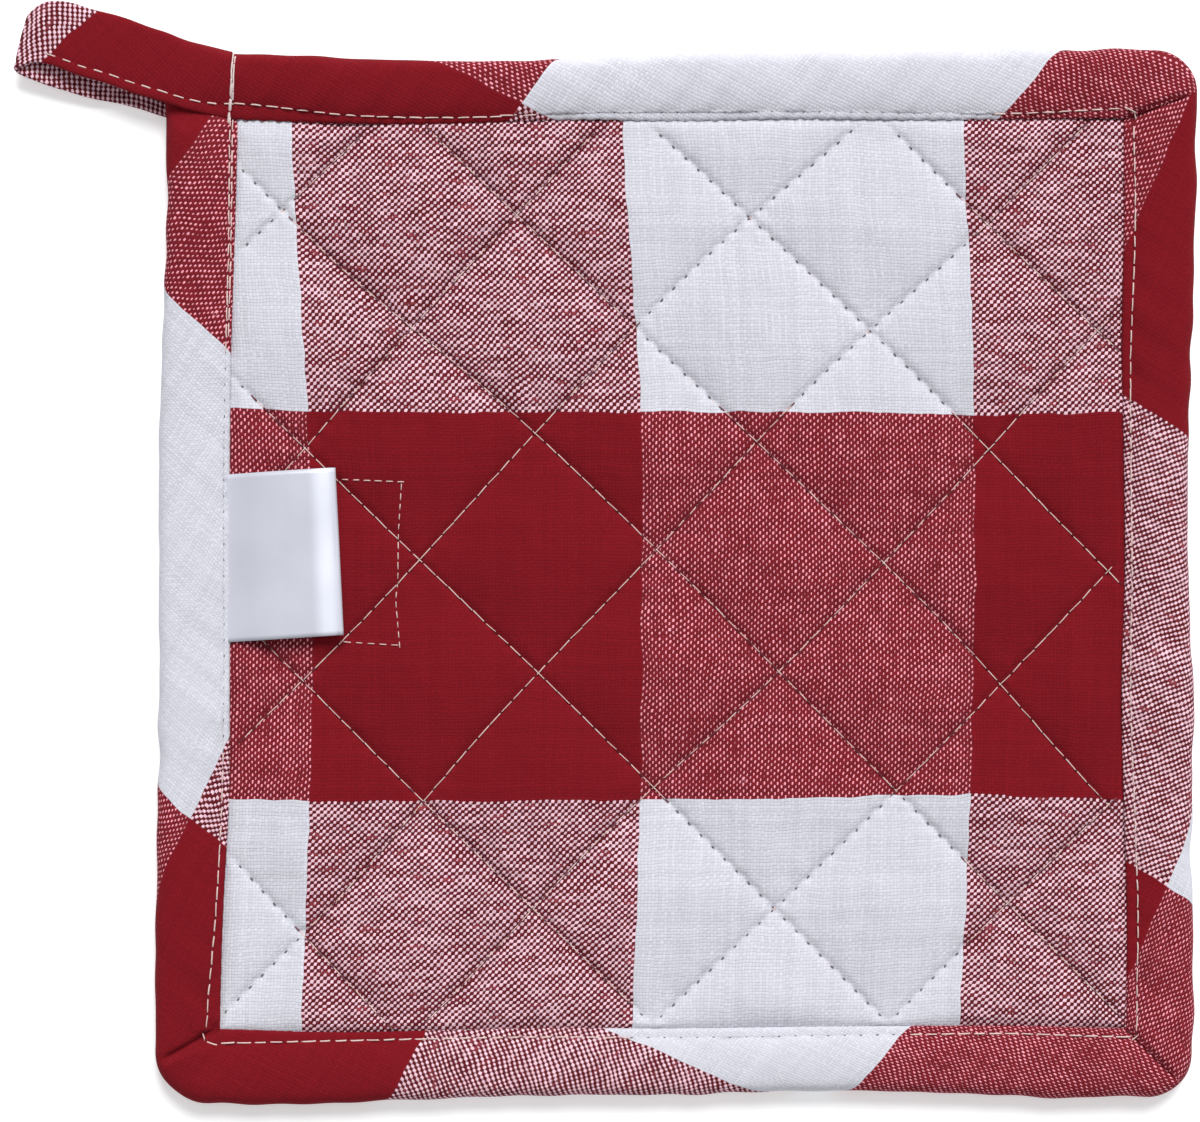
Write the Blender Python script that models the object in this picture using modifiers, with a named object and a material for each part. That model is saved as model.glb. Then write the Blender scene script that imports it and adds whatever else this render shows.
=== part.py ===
"""Quilted pot holder, lying flat: quilted square, bias binding, corner hanging loop and a side label.

The tables are in millimetres, seen from above: x to the right, y away from the viewer, z up, with
x = y = 0 in the middle of the bound square. make_object moves each mesh to the part's own origin,
the middle of the underside of the whole thing, and turns it to metres.
"""

import math
import random

import bmesh
import bpy
from mathutils import Vector

MM = 0.001
ORIGIN = (-13.05, 3.75)         # middle of the whole outline, loop included
GAP = 0.3                       # space left between neighbouring pieces

# Bound square: the outer edge of the binding, and the inner edge (lip) on the quilted side.
HALF_WIDTH, HALF_HEIGHT = 99.7, 100.5
CORNER_RADIUS = 8.0
LIP_CORNER_RADIUS = 0.8
CORNERS = {"top_left": (-HALF_WIDTH, HALF_HEIGHT), "bottom_left": (-HALF_WIDTH, -HALF_HEIGHT),
           "bottom_right": (HALF_WIDTH, -HALF_HEIGHT), "top_right": (HALF_WIDTH, HALF_HEIGHT)}
LIP_CORNERS = {"top_left": (-83.9, 87.8), "bottom_left": (-87.6, -87.2),
               "bottom_right": (86.4, -86.8), "top_right": (86.4, 87.8)}
# How far the soft outer edge stands out from the straight side, at nine even steps along it.
SIDES = (
    # name, from corner, to corner, outward way, drift
    ("left", "top_left", "bottom_left", (-1, 0), (-1.0, -1.9, -1.2, -0.4, -0.4, -0.4, 0.0, 0.4, 0.3)),
    ("bottom", "bottom_left", "bottom_right", (0, -1), (1.0, 1.5, 0.5, -0.3, -0.4, -1.1, -0.8, 0.2, -0.4)),
    ("right", "bottom_right", "top_right", (1, 0), (0.2, 0.4, 0.0, 0.5, -0.5, -0.5, 0.3, 0.9, 1.0)),
    ("top", "top_right", "top_left", (0, 1), (0.8, 0.9, 0.6, 0.4, 0.1, -1.1, -1.2, -0.2, 0.3)),
)

# Binding: a folded strip round the edge, in section a C that holds the edge of the quilt.
STRIP_START_Y = 86.4            # the strip starts on the left side, under the loop ...
STRIP_END_X = -84.9             # ... and ends on the top side, at the loop's bar tack
STATION_STEP = 11.0
CAVITY_BOTTOM, CAVITY_TOP = 1.2, 4.0
BINDING_SECTION = (
    # way in from the outer edge to the lip (0 to 1), height
    (1.00, CAVITY_BOTTOM), (1.00, 0.0), (0.24, 0.0), (0.08, 0.7), (0.0, 2.5), (0.05, 4.6), (0.18, 6.0),
    (0.40, 6.5), (0.64, 6.2), (0.80, 5.5), (0.875, 4.95), (0.95, 5.15), (1.00, 4.85), (1.00, CAVITY_TOP),
    (0.38, CAVITY_TOP), (0.38, CAVITY_BOTTOM),
)
CREASE_DEPTH = 0.9              # mitre crease across a corner, on the crown
PUCKER = 0.25                   # how much the crown rises and falls along the strip
CORNER_STATIONS = 9

# Quilt: its hidden edge lies in the binding's cavity, and its face puffs up inside the lip.
QUILT_LEFT, QUILT_RIGHT, QUILT_BOTTOM, QUILT_TOP = -92.3, 94.0, -94.3, 94.5
QUILT_CORNER_CUT = 2.2
EDGE_TOP, EDGE_BOTTOM = CAVITY_TOP - GAP, CAVITY_BOTTOM + GAP
SEAM_TOP, CROWN_TOP = 4.5, 6.35
LIP_RISE = 5.0                  # how soon the face reaches full height inside the lip
PUFF_REACH = 5.0                # how soon it reaches full height beside a seam
CROWN_SPREAD = 0.12
FLAT_FROM = 0.55                # the share of puff from which the underside lies flat

# Quilting seams: straight lines at 45 degrees, each with the drift of hand-guided sewing.
SEAM_STATIONS = (-90.0, -45.0, 0.0, 45.0, 90.0)
FALLING_SEAMS = (
    # offset towards the top right corner, drift at the five stations from bottom right to top left
    (-99.4, (-2.2, -1.2, -0.1, 2.0, 3.9)),
    (-64.6, (0.8, 0.3, -0.3, -0.3, -0.4)),
    (-32.2, (0.4, 0.5, 0.5, -0.5, -0.9)),
    (-0.5, (1.2, 1.5, 1.7, 0.6, -3.1)),
    (28.8, (-1.0, 1.4, 0.8, -0.5, -1.5)),
    (59.3, (0.2, 0.4, 0.8, -0.5, -2.3)),
    (90.7, (1.5, 0.7, -0.2, -0.3, -0.4)),
)
RISING_SEAMS = (
    # offset towards the top left corner, drift at the five stations from bottom left to top right
    (-90.1, (0.2, 0.1, 0.1, -0.5, -1.0)),
    (-58.8, (1.4, 0.1, -0.7, -0.1, 1.4)),
    (-26.2, (-0.8, 0.5, -1.1, -0.1, 1.9)),
    (5.0, (-3.3, -0.2, 0.9, 2.2, 0.3)),
    (37.6, (-1.1, -1.2, 0.7, 1.5, -1.4)),
    (69.7, (-5.2, -2.8, -0.2, 1.3, 2.0)),
    (103.0, (2.2, 1.1, -0.1, -1.3, -2.4)),
)
CELL_STEPS = (0.0, 0.07, 0.22, 0.5, 0.78, 0.93)     # mesh lines across one quilted diamond
MARGIN_CELLS = 2                                    # unsewn cells of mesh past the last seams
MARGIN_PITCH = 31.0

# Hanging loop: the strip runs on past the corner, turns under and comes back beside itself.
LOOP_ROOT = (-99.1, 98.1)       # where the loop's middle line leaves the square
LOOP_TILT = math.radians(16.0)
LOOP_ROWS = (
    # along the loop from its root, height of the tape's middle, shift across, width, thickness
    (-22.0, 5.2, 0.0, 13.6, 2.3),
    (-14.0, 5.25, 0.0, 13.6, 2.2),
    (-5.0, 5.25, 0.0, 13.4, 2.0),
    (2.0, 6.1, 0.0, 13.0, 1.7),
    (9.0, 7.4, 0.0, 12.4, 1.6),
    (17.0, 7.8, -0.2, 11.8, 1.6),
    (23.0, 7.4, -0.8, 11.6, 1.6),
    (26.0, 4.3, -1.6, 11.5, 1.6),
    (23.0, 1.1, -2.4, 11.5, 1.6),
    (17.0, 0.8, -3.0, 11.6, 1.6),
    (9.0, 0.8, -3.2, 11.6, 1.6),
    (0.0, 0.8, -3.0, 11.6, 1.6),
    (-4.0, 0.8, -2.8, 11.4, 1.6),
)
LOOP_SUBSTEPS = 4
TAPE_EDGE = 0.35                # rounding of the tape's edges
# Corner piece: the part of the strip that closes over the square's corner under the bar tack.
WRAP_LEFT, WRAP_BOTTOM, WRAP_TOP, WRAP_HEIGHT = -98.7, 87.0, 99.2, 5.2
WRAP_BEVEL = 1.2
TACK_X = STRIP_END_X - GAP
CUT_REACH = 12.0                # how far the cutting boxes run past what they cut

# Label: a satin ribbon folded once, its cut ends at the lip and its fold over the quilt.
LABEL_CORNERS = {"lip_top": (-84.9, 19.5), "lip_bottom": (-85.4, -12.8),
                 "fold_top": (-65.1, 20.7), "fold_bottom": (-63.6, -11.4)}
LABEL_THICKNESS, LABEL_PLY_GAP = 1.0, 0.35
LABEL_STEPS = 8
LABEL_FOLD_STEPS = 5
LABEL_BED_MARGIN = 0.12         # the facets of the quilt may stand this much above its curve

COLOURS = {
    # name: linear colour, roughness
    "quilted_panel": ((0.42, 0.12, 0.14), 0.9),
    "binding": ((0.23, 0.016, 0.02), 0.88),
    "hanging_loop": ((0.2, 0.014, 0.018), 0.88),
    "label": ((0.56, 0.57, 0.62), 0.4),
}


def clear_scene():
    for old in list(bpy.data.objects):
        bpy.data.objects.remove(old, do_unlink=True)


def new_collection(name):
    collection = bpy.data.collections.new(name)
    bpy.context.scene.collection.children.link(collection)
    return collection


def cloth_material(name):
    colour, roughness = COLOURS[name]
    material = bpy.data.materials.new(name)
    material.use_nodes = True
    shader = material.node_tree.nodes["Principled BSDF"]
    shader.inputs["Base Color"].default_value = (*colour, 1.0)
    shader.inputs["Roughness"].default_value = roughness
    shader.inputs["Metallic"].default_value = 0.0
    return material


def make_object(bm, name, collection, smooth_angle=50.0):
    """Move the mesh to the part's origin, turn it to metres and link it as one named object."""
    for vert in bm.verts:
        vert.co = Vector((vert.co.x - ORIGIN[0], vert.co.y - ORIGIN[1], vert.co.z)) * MM
    bmesh.ops.recalc_face_normals(bm, faces=bm.faces)
    mesh = bpy.data.meshes.new(name)
    bm.to_mesh(mesh)
    bm.free()
    mesh.shade_smooth()
    mesh.set_sharp_from_angle(angle=math.radians(smooth_angle))
    obj = bpy.data.objects.new(name, mesh)
    collection.objects.link(obj)
    return obj


def smooth_between(values, position):
    """Catmull-Rom reading of evenly spaced values, at a position counted in steps."""
    last = len(values) - 1
    position = min(max(position, 0.0), float(last))
    i = min(int(position), last - 1)
    t = position - i
    a, b, c, d = (values[min(max(k, 0), last)] for k in (i - 1, i, i + 1, i + 2))
    return 0.5 * (2 * b + (c - a) * t + (2 * a - 5 * b + 4 * c - d) * t ** 2 + (3 * b - a - 3 * c + d) * t ** 3)


def loft(bm, rings):
    """Closed tube of faces through rings of equal length, capped at both ends."""
    rows = [[bm.verts.new(point) for point in ring] for ring in rings]
    count = len(rows[0])
    for near, far in zip(rows, rows[1:]):
        for k in range(count):
            bm.faces.new((near[k], near[(k + 1) % count], far[(k + 1) % count], far[k]))
    bm.faces.new(reversed(rows[0]))
    bm.faces.new(rows[-1])


# ---------------------------------------------------------------- quilted panel

def seam_offset(seam, station):
    base, drift = seam
    step = SEAM_STATIONS[1] - SEAM_STATIONS[0]
    return base + smooth_between(drift, (station - SEAM_STATIONS[0]) / step)


def lattice_lines(seams):
    """The sewn lines with unsewn ones added on both sides, so that the mesh covers the corners."""
    flat = (0.0,) * len(SEAM_STATIONS)
    before = [(seams[0][0] - MARGIN_PITCH * k, flat) for k in range(MARGIN_CELLS, 0, -1)]
    after = [(seams[-1][0] + MARGIN_PITCH * k, flat) for k in range(1, MARGIN_CELLS + 1)]
    return before + list(seams) + after


def between_lines(lines, index, station):
    """Offset of a mesh line that lies between two seams; index counts mesh lines."""
    cell, step = divmod(index, len(CELL_STEPS))
    low = seam_offset(lines[cell], station)
    if step == 0:
        return low
    return low + (seam_offset(lines[cell + 1], station) - low) * CELL_STEPS[step]


def to_diagonal(x, y):
    """Distance towards the top right corner, and towards the top left corner."""
    return (x + y) / math.sqrt(2), (y - x) / math.sqrt(2)


def from_diagonal(up_right, up_left):
    return (up_right - up_left) / math.sqrt(2), (up_right + up_left) / math.sqrt(2)


def puff(distance):
    return 1.0 - math.exp(-distance / PUFF_REACH)


def seam_cell(seams, offset, station):
    """Distance to the nearest seam of one family, and the number of seams below the point."""
    offsets = [seam_offset(seam, station) for seam in seams]
    return min(abs(offset - line) for line in offsets), sum(offset > line for line in offsets)


def cell_crowns():
    """One height factor for each quilted diamond, because no two are filled alike."""
    dice = random.Random(11)
    rows, columns = len(FALLING_SEAMS) + 1, len(RISING_SEAMS) + 1
    return [[1.0 + CROWN_SPREAD * dice.uniform(-1, 1) for _ in range(columns)] for _ in range(rows)]


CROWNS = cell_crowns()


def inside_lip(x, y):
    """Distance in from the nearest lip edge; negative under the binding."""
    nearest = math.inf
    for _, start, end, _, _ in SIDES:
        a, b = Vector(LIP_CORNERS[start]), Vector(LIP_CORNERS[end])
        along = (b - a).normalized()
        inward = Vector((-along.y, along.x))
        nearest = min(nearest, (Vector((x, y)) - a).dot(inward))
    return nearest - GAP


def quilt_heights(x, y):
    """Underside and face of the quilt at a point."""
    up_right, up_left = to_diagonal(x, y)
    falling, row = seam_cell(FALLING_SEAMS, up_right, up_left)
    rising, column = seam_cell(RISING_SEAMS, up_left, up_right)
    fill = puff(falling) * puff(rising)
    rise = 1.0 - math.exp(-max(inside_lip(x, y), 0.0) / LIP_RISE)
    sewn = EDGE_TOP + (SEAM_TOP - EDGE_TOP) * rise
    face = sewn + (CROWN_TOP - SEAM_TOP) * rise * fill * CROWNS[row][column]
    underside = EDGE_BOTTOM * (1.0 - min(1.0, rise * fill / (FLAT_FROM * puff(PUFF_REACH * 3))))
    return underside, face


def panel_cut(bm, point, outward, clear):
    geometry = bm.verts[:] + bm.edges[:] + bm.faces[:]
    bmesh.ops.bisect_plane(bm, geom=geometry, dist=0.05, plane_co=(*point, 0.0), plane_no=(*outward, 0.0),
                           clear_outer=clear)


def build_panel(collection):
    """A grid laid along the seams, cut to the quilt's outline, then raised to a face and an underside."""
    falling, rising = lattice_lines(FALLING_SEAMS), lattice_lines(RISING_SEAMS)
    rows = (len(falling) - 1) * len(CELL_STEPS)
    columns = (len(rising) - 1) * len(CELL_STEPS)
    bm = bmesh.new()
    bmesh.ops.create_grid(bm, x_segments=rows, y_segments=columns, size=1.0)
    for vert in bm.verts:
        row = round((vert.co.x + 1.0) / 2.0 * rows)
        column = round((vert.co.y + 1.0) / 2.0 * columns)
        up_right = up_left = 0.0
        for _ in range(8):
            up_right = between_lines(falling, row, up_left)
            up_left = between_lines(rising, column, up_right)
        vert.co = (*from_diagonal(up_right, up_left), 0.0)

    outline = (((QUILT_LEFT, 0), (-1, 0)), ((QUILT_RIGHT, 0), (1, 0)),
               ((0, QUILT_BOTTOM), (0, -1)), ((0, QUILT_TOP), (0, 1)))
    for point, outward in outline:
        panel_cut(bm, point, outward, clear=True)
    for x, y in ((QUILT_LEFT, QUILT_TOP), (QUILT_LEFT, QUILT_BOTTOM), (QUILT_RIGHT, QUILT_BOTTOM),
                 (QUILT_RIGHT, QUILT_TOP)):
        across = Vector((math.copysign(1, x), math.copysign(1, y))).normalized()
        panel_cut(bm, Vector((x, y)) - across * QUILT_CORNER_CUT, across, clear=True)
    for _, start, end, _, _ in SIDES:
        a, b = Vector(LIP_CORNERS[start]), Vector(LIP_CORNERS[end])
        along = (b - a).normalized()
        inward = Vector((-along.y, along.x))
        panel_cut(bm, a + inward * GAP, inward, clear=False)
        panel_cut(bm, a + inward * (GAP + LIP_RISE * 0.6), inward, clear=False)
    bmesh.ops.remove_doubles(bm, verts=bm.verts, dist=0.35)
    bmesh.ops.dissolve_degenerate(bm, edges=bm.edges, dist=0.05)

    face = bm.verts[:]
    rim = [edge for edge in bm.edges if len(edge.link_faces) == 1]
    copy = bmesh.ops.duplicate(bm, geom=bm.verts[:] + bm.edges[:] + bm.faces[:])
    under = copy["vert_map"]
    bmesh.ops.reverse_faces(bm, faces=[item for item in copy["geom"] if isinstance(item, bmesh.types.BMFace)])
    for edge in rim:
        a, b = edge.verts
        bm.faces.new((a, b, under[b], under[a]))
    for vert in face:
        low, high = quilt_heights(vert.co.x, vert.co.y)
        vert.co.z = high
        under[vert].co.z = low
    bmesh.ops.triangulate(bm, faces=bm.faces)
    return make_object(bm, "quilted_panel", collection)


# ---------------------------------------------------------------- binding

def side_outer(side, fraction):
    _, start, end, outward, drift = side
    a, b = Vector(CORNERS[start]), Vector(CORNERS[end])
    return a.lerp(b, fraction) + Vector(outward) * smooth_between(drift, fraction * (len(drift) - 1))


def lip_foot(side, point):
    """The point of the side's lip edge that lies square across from an outer point."""
    a, b = Vector(LIP_CORNERS[side[1]]), Vector(LIP_CORNERS[side[2]])
    share = (point - a).dot(b - a) / (b - a).length_squared
    return a.lerp(b, share), share


def side_stations(side, first, last):
    """Outer and lip points along one side, between two fractions of it."""
    length = (Vector(CORNERS[side[1]]) - Vector(CORNERS[side[2]])).length
    count = max(2, round((last - first) * length / STATION_STEP))
    stations = []
    for k in range(count + 1):
        outer = side_outer(side, first + (last - first) * k / count)
        stations.append((outer, lip_foot(side, outer)[0], 0.0))
    return stations


def lip_limits(side):
    """Fractions of the side where its outer edge is level with the lip's two corners."""
    a, b = Vector(CORNERS[side[1]]), Vector(CORNERS[side[2]])
    ends = (Vector(LIP_CORNERS[side[1]]), Vector(LIP_CORNERS[side[2]]))
    margin = LIP_CORNER_RADIUS / (b - a).length
    near, far = ((end - a).dot(b - a) / (b - a).length_squared for end in ends)
    return near + margin, far - margin


def corner_stations(side, following):
    """A fan of stations round one corner: the outer edge is an arc, the lip turns almost sharp."""
    before = side_outer(side, lip_limits(side)[1])
    after = side_outer(following, lip_limits(following)[0])
    out_a, out_b = Vector(side[3]), Vector(following[3])
    tip = out_a * before.dot(out_a) + out_b * after.dot(out_b)
    centre = tip - (out_a + out_b) * CORNER_RADIUS
    arc_start, arc_end = centre + out_a * CORNER_RADIUS, centre + out_b * CORNER_RADIUS
    lip = Vector(LIP_CORNERS[side[2]])
    lip_start, lip_end = lip_foot(side, before)[0], lip_foot(following, after)[0]
    lead_in, lead_out = (arc_start - before).length, (after - arc_end).length
    arc = CORNER_RADIUS * math.pi / 2
    stations = []
    for k in range(1, CORNER_STATIONS):
        share = k / CORNER_STATIONS
        travelled = share * (lead_in + arc + lead_out)
        if travelled < lead_in:
            outer = before.lerp(arc_start, travelled / lead_in)
        elif travelled < lead_in + arc:
            angle = (travelled - lead_in) / CORNER_RADIUS
            outer = centre + (out_a * math.cos(angle) + out_b * math.sin(angle)) * CORNER_RADIUS
        else:
            outer = arc_end.lerp(after, (travelled - lead_in - arc) / lead_out)
        inner = lip_start.lerp(lip, share).lerp(lip.lerp(lip_end, share), share)
        crease = max(0.0, 1.0 - abs(share - 0.5) * 2.0 * CORNER_STATIONS / 3.0)
        stations.append((outer, inner, crease))
    return stations


def binding_ring(outer, lip, crease, lift):
    ring = []
    for way_in, height in BINDING_SECTION:
        point = outer.lerp(lip, way_in)
        on_crown = height > CAVITY_TOP and 0.1 < way_in < 1.0
        if on_crown:
            height += lift - CREASE_DEPTH * crease
        ring.append((point.x, point.y, max(height, 0.0)))
    return ring


def build_binding(collection):
    """One strip from under the loop, down the left side, round and back to the bar tack."""
    limits = [lip_limits(side) for side in SIDES]
    first = (HALF_HEIGHT - STRIP_START_Y) / (2 * HALF_HEIGHT)
    last = (HALF_WIDTH - STRIP_END_X) / (2 * HALF_WIDTH)
    starts = [first] + [limit[0] for limit in limits[1:]]
    ends = [limit[1] for limit in limits[:-1]] + [last]
    stations = []
    for k, side in enumerate(SIDES):
        stations += side_stations(side, starts[k], ends[k])
        if k + 1 < len(SIDES):
            stations += corner_stations(side, SIDES[k + 1])
    dice = random.Random(5)
    bm = bmesh.new()
    loft(bm, [binding_ring(outer, lip, crease, PUCKER * dice.uniform(-1, 1)) for outer, lip, crease in stations])
    return make_object(bm, "binding", collection)


# ---------------------------------------------------------------- hanging loop

def loop_point(along, across):
    """Plan position beside the loop's middle line."""
    x = LOOP_ROOT[0] - along * math.cos(LOOP_TILT) + across * math.sin(LOOP_TILT)
    y = LOOP_ROOT[1] + along * math.sin(LOOP_TILT) + across * math.cos(LOOP_TILT)
    return x, y


def loop_samples():
    columns = list(zip(*LOOP_ROWS))
    count = (len(LOOP_ROWS) - 1) * LOOP_SUBSTEPS
    return [[smooth_between(column, k / LOOP_SUBSTEPS) for column in columns] for k in range(count + 1)]


def tape_ring(sample, heading):
    """Section of the tape: a flat bar with eased edges, square to its run."""
    along, height, shift, width, thickness = sample
    normal_along, normal_up = -heading.y, heading.x
    half_width, half_thick = width / 2, thickness / 2
    corners = ((half_width, half_thick - TAPE_EDGE), (half_width - TAPE_EDGE, half_thick),
               (-half_width + TAPE_EDGE, half_thick), (-half_width, half_thick - TAPE_EDGE),
               (-half_width, TAPE_EDGE - half_thick), (-half_width + TAPE_EDGE, -half_thick),
               (half_width - TAPE_EDGE, -half_thick), (half_width, TAPE_EDGE - half_thick))
    ring = []
    for across, out in corners:
        x, y = loop_point(along + normal_along * out, shift + across)
        ring.append((x, y, max(height + normal_up * out, 0.0)))
    return ring


def cutter_box(name, low, high, collection):
    bm = bmesh.new()
    bmesh.ops.create_cube(bm, size=1.0)
    for vert in bm.verts:
        vert.co = [low[k] + (high[k] - low[k]) * (vert.co[k] + 0.5) for k in range(3)]
    box = make_object(bm, name, collection)
    box.hide_render = True
    box.display_type = "WIRE"
    return box


def add_boolean(obj, operation, tool):
    modifier = obj.modifiers.new(f"{operation.lower()} {tool.name}", "BOOLEAN")
    modifier.operation = operation
    modifier.solver = "EXACT"
    modifier.object = tool


def build_loop(collection, cutters):
    """The tape turned back on itself, joined to the piece that closes over the quilt's corner."""
    samples = loop_samples()
    bm = bmesh.new()
    rings = []
    for k, sample in enumerate(samples):
        a, b = samples[max(k - 1, 0)], samples[min(k + 1, len(samples) - 1)]
        heading = Vector((b[0] - a[0], b[1] - a[1])).normalized()
        rings.append(tape_ring(sample, heading))
    loft(bm, rings)
    loop = make_object(bm, "hanging_loop", collection)

    wrap = cutter_box("corner_wrap", (WRAP_LEFT, WRAP_BOTTOM, 0.0), (TACK_X + CUT_REACH, WRAP_TOP, WRAP_HEIGHT),
                      cutters)
    rounding = wrap.modifiers.new("eased edges", "BEVEL")
    rounding.width = WRAP_BEVEL * MM
    rounding.segments = 2
    cavity = cutter_box("quilt_corner_space",
                        (QUILT_LEFT - GAP, WRAP_BOTTOM - CUT_REACH, CAVITY_BOTTOM),
                        (TACK_X + 2 * CUT_REACH, QUILT_TOP + GAP, CAVITY_TOP), cutters)
    past_tack = cutter_box("past_bar_tack", (TACK_X, WRAP_BOTTOM - CUT_REACH, -CUT_REACH),
                           (TACK_X + 3 * CUT_REACH, WRAP_TOP + CUT_REACH, CUT_REACH), cutters)
    add_boolean(loop, "UNION", wrap)
    add_boolean(loop, "DIFFERENCE", cavity)
    add_boolean(loop, "DIFFERENCE", past_tack)
    return loop


# ---------------------------------------------------------------- label

def label_edge(share):
    """Top and bottom points of the label at a share of its length, lip to fold."""
    ends = [Vector(LABEL_CORNERS[f"lip_{edge}"]).lerp(Vector(LABEL_CORNERS[f"fold_{edge}"]), share)
            for edge in ("top", "bottom")]
    return ends


def label_bed(share):
    """Height that the label's lower ply rests at: just above the highest quilt under it."""
    top, bottom = label_edge(share)
    points = [top.lerp(bottom, k / 30) for k in range(-1, 32)]
    return max(quilt_heights(point.x, point.y)[1] for point in points) + GAP + LABEL_BED_MARGIN


def label_ring(share, low, high, reach=0.0):
    """Four corners of the ribbon's section; reach moves them past the end towards the fold."""
    top, bottom = label_edge(share)
    step = Vector((reach, 0.0))
    top, bottom = top + step, bottom + step
    return [(top.x, top.y, low), (bottom.x, bottom.y, low), (bottom.x, bottom.y, high), (top.x, top.y, high)]


def build_label(collection):
    """Lower ply from the lip to the fold, a half turn, and the upper ply back to the lip."""
    beds = [label_bed(k / LABEL_STEPS) for k in range(LABEL_STEPS + 1)]
    upper = LABEL_THICKNESS + LABEL_PLY_GAP
    inner, outer = LABEL_PLY_GAP / 2, LABEL_PLY_GAP / 2 + LABEL_THICKNESS
    middle = beds[-1] + LABEL_THICKNESS + inner
    fold_share = 1.0 - outer / (LABEL_CORNERS["fold_top"][0] - LABEL_CORNERS["lip_top"][0])
    shares = [fold_share * k / LABEL_STEPS for k in range(LABEL_STEPS + 1)]
    bm = bmesh.new()
    rings = [label_ring(share, bed, bed + LABEL_THICKNESS) for share, bed in zip(shares, beds)]
    top, bottom = label_edge(fold_share)
    for k in range(1, LABEL_FOLD_STEPS):
        angle = math.pi * k / LABEL_FOLD_STEPS
        out = [(radius * math.sin(angle), middle - radius * math.cos(angle)) for radius in (outer, inner)]
        rings.append([(top.x + out[0][0], top.y, out[0][1]), (bottom.x + out[0][0], bottom.y, out[0][1]),
                      (bottom.x + out[1][0], bottom.y, out[1][1]), (top.x + out[1][0], top.y, out[1][1])])
    rings += [label_ring(share, bed + upper + LABEL_THICKNESS, bed + upper)
              for share, bed in reversed(list(zip(shares, beds)))]
    loft(bm, rings)
    return make_object(bm, "label", collection)


def main():
    clear_scene()
    pot_holder = new_collection("quilted_pot_holder")
    cutters = new_collection("cutters")
    pieces = [build_panel(pot_holder), build_binding(pot_holder), build_loop(pot_holder, cutters),
              build_label(pot_holder)]
    for piece in pieces:
        piece.data.materials.append(cloth_material(piece.name))


main()
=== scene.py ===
"""Looks of the quilted pot holder: checked cotton, quilted on crossing diagonals, bound with a bias strip.

The tables are in millimetres, seen from above: x to the right, y away from the viewer, z up, with
x = y = 0 in the middle of the bound square. place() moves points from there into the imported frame,
in metres, with the quilted panel's own CAD box as the link between the two.
"""

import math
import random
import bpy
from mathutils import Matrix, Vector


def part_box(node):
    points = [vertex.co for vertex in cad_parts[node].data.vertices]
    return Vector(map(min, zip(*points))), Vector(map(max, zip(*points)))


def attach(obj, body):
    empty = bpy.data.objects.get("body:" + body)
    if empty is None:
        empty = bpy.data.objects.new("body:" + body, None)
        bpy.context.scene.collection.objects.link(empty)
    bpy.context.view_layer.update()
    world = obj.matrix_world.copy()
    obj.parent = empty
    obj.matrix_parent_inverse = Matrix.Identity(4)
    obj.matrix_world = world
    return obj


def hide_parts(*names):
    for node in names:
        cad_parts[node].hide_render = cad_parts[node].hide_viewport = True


bl_info = {
    "name": "Quilted pot holder",
    "version": (1, 0, 0),
    "blender": (4, 5, 0),
    "location": "3D View > Sidebar > Pot holder",
    "description": "Cloth, stitching, loop and label of a quilted pot holder, with its stage",
    "category": "Add Mesh",
}

from types import SimpleNamespace

import bmesh
import bpy
import numpy as np
from bpy.props import FloatProperty, FloatVectorProperty, IntProperty, PointerProperty
from mathutils import Vector

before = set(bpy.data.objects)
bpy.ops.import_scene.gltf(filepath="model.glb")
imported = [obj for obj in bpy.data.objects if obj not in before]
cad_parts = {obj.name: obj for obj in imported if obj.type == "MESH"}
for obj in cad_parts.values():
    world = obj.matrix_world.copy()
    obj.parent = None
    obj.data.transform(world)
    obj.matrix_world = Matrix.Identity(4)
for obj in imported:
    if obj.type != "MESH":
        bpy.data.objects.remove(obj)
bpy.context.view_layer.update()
BODY = "root"
MM = 0.001
CLOTH_UV = "cloth"
SEWN = "sewn"                   # mesh attribute: how near a point is to a quilting seam, 0 to 1; it places the painted seam shade

# ---------------------------------------------------------------- sizes shared with the CAD solids

QUILT_LEFT, QUILT_RIGHT, QUILT_BOTTOM, QUILT_TOP = -92.3, 94.0, -94.3, 94.5
QUILT_CORNER_CUT = 2.2
PANEL_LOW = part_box("quilted_panel")[0]
ORIGIN = (QUILT_LEFT - PANEL_LOW.x / MM, QUILT_BOTTOM - PANEL_LOW.y / MM)

HALF_WIDTH, HALF_HEIGHT = 99.7, 100.5
CORNER_RADII = (10.5, 9.0, 8.0)      # bottom left, bottom right, top right
CAVITY_TOP, GAP = 4.0, 0.3      # roof of the binding's cavity, and the gap left round the quilt in it
EDGE_TOP, EDGE_BOTTOM = 3.85, 1.5           # face and underside of the quilt's edge in the cavity
LIP_SIDE, SEAM_TOP, CROWN_TOP = 4.8, 4.5, 6.7   # face beside the lip, on a seam and over a full diamond
LIP_RISE, PUFF_REACH = 3.0, 6.5             # how soon the filling shows beside the lip and beside a seam
CROWN_SPREAD, FLAT_FROM = 0.12, 0.55        # diamonds differ this much; the underside is flat from this fill
FULL_FILL = 1.0 - math.exp(-3.0)
STEP_UP, DETAIL_RISE = (-0.8, 0.4), 1.5     # where the face steps up at the lip; how soon its detail starts

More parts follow.
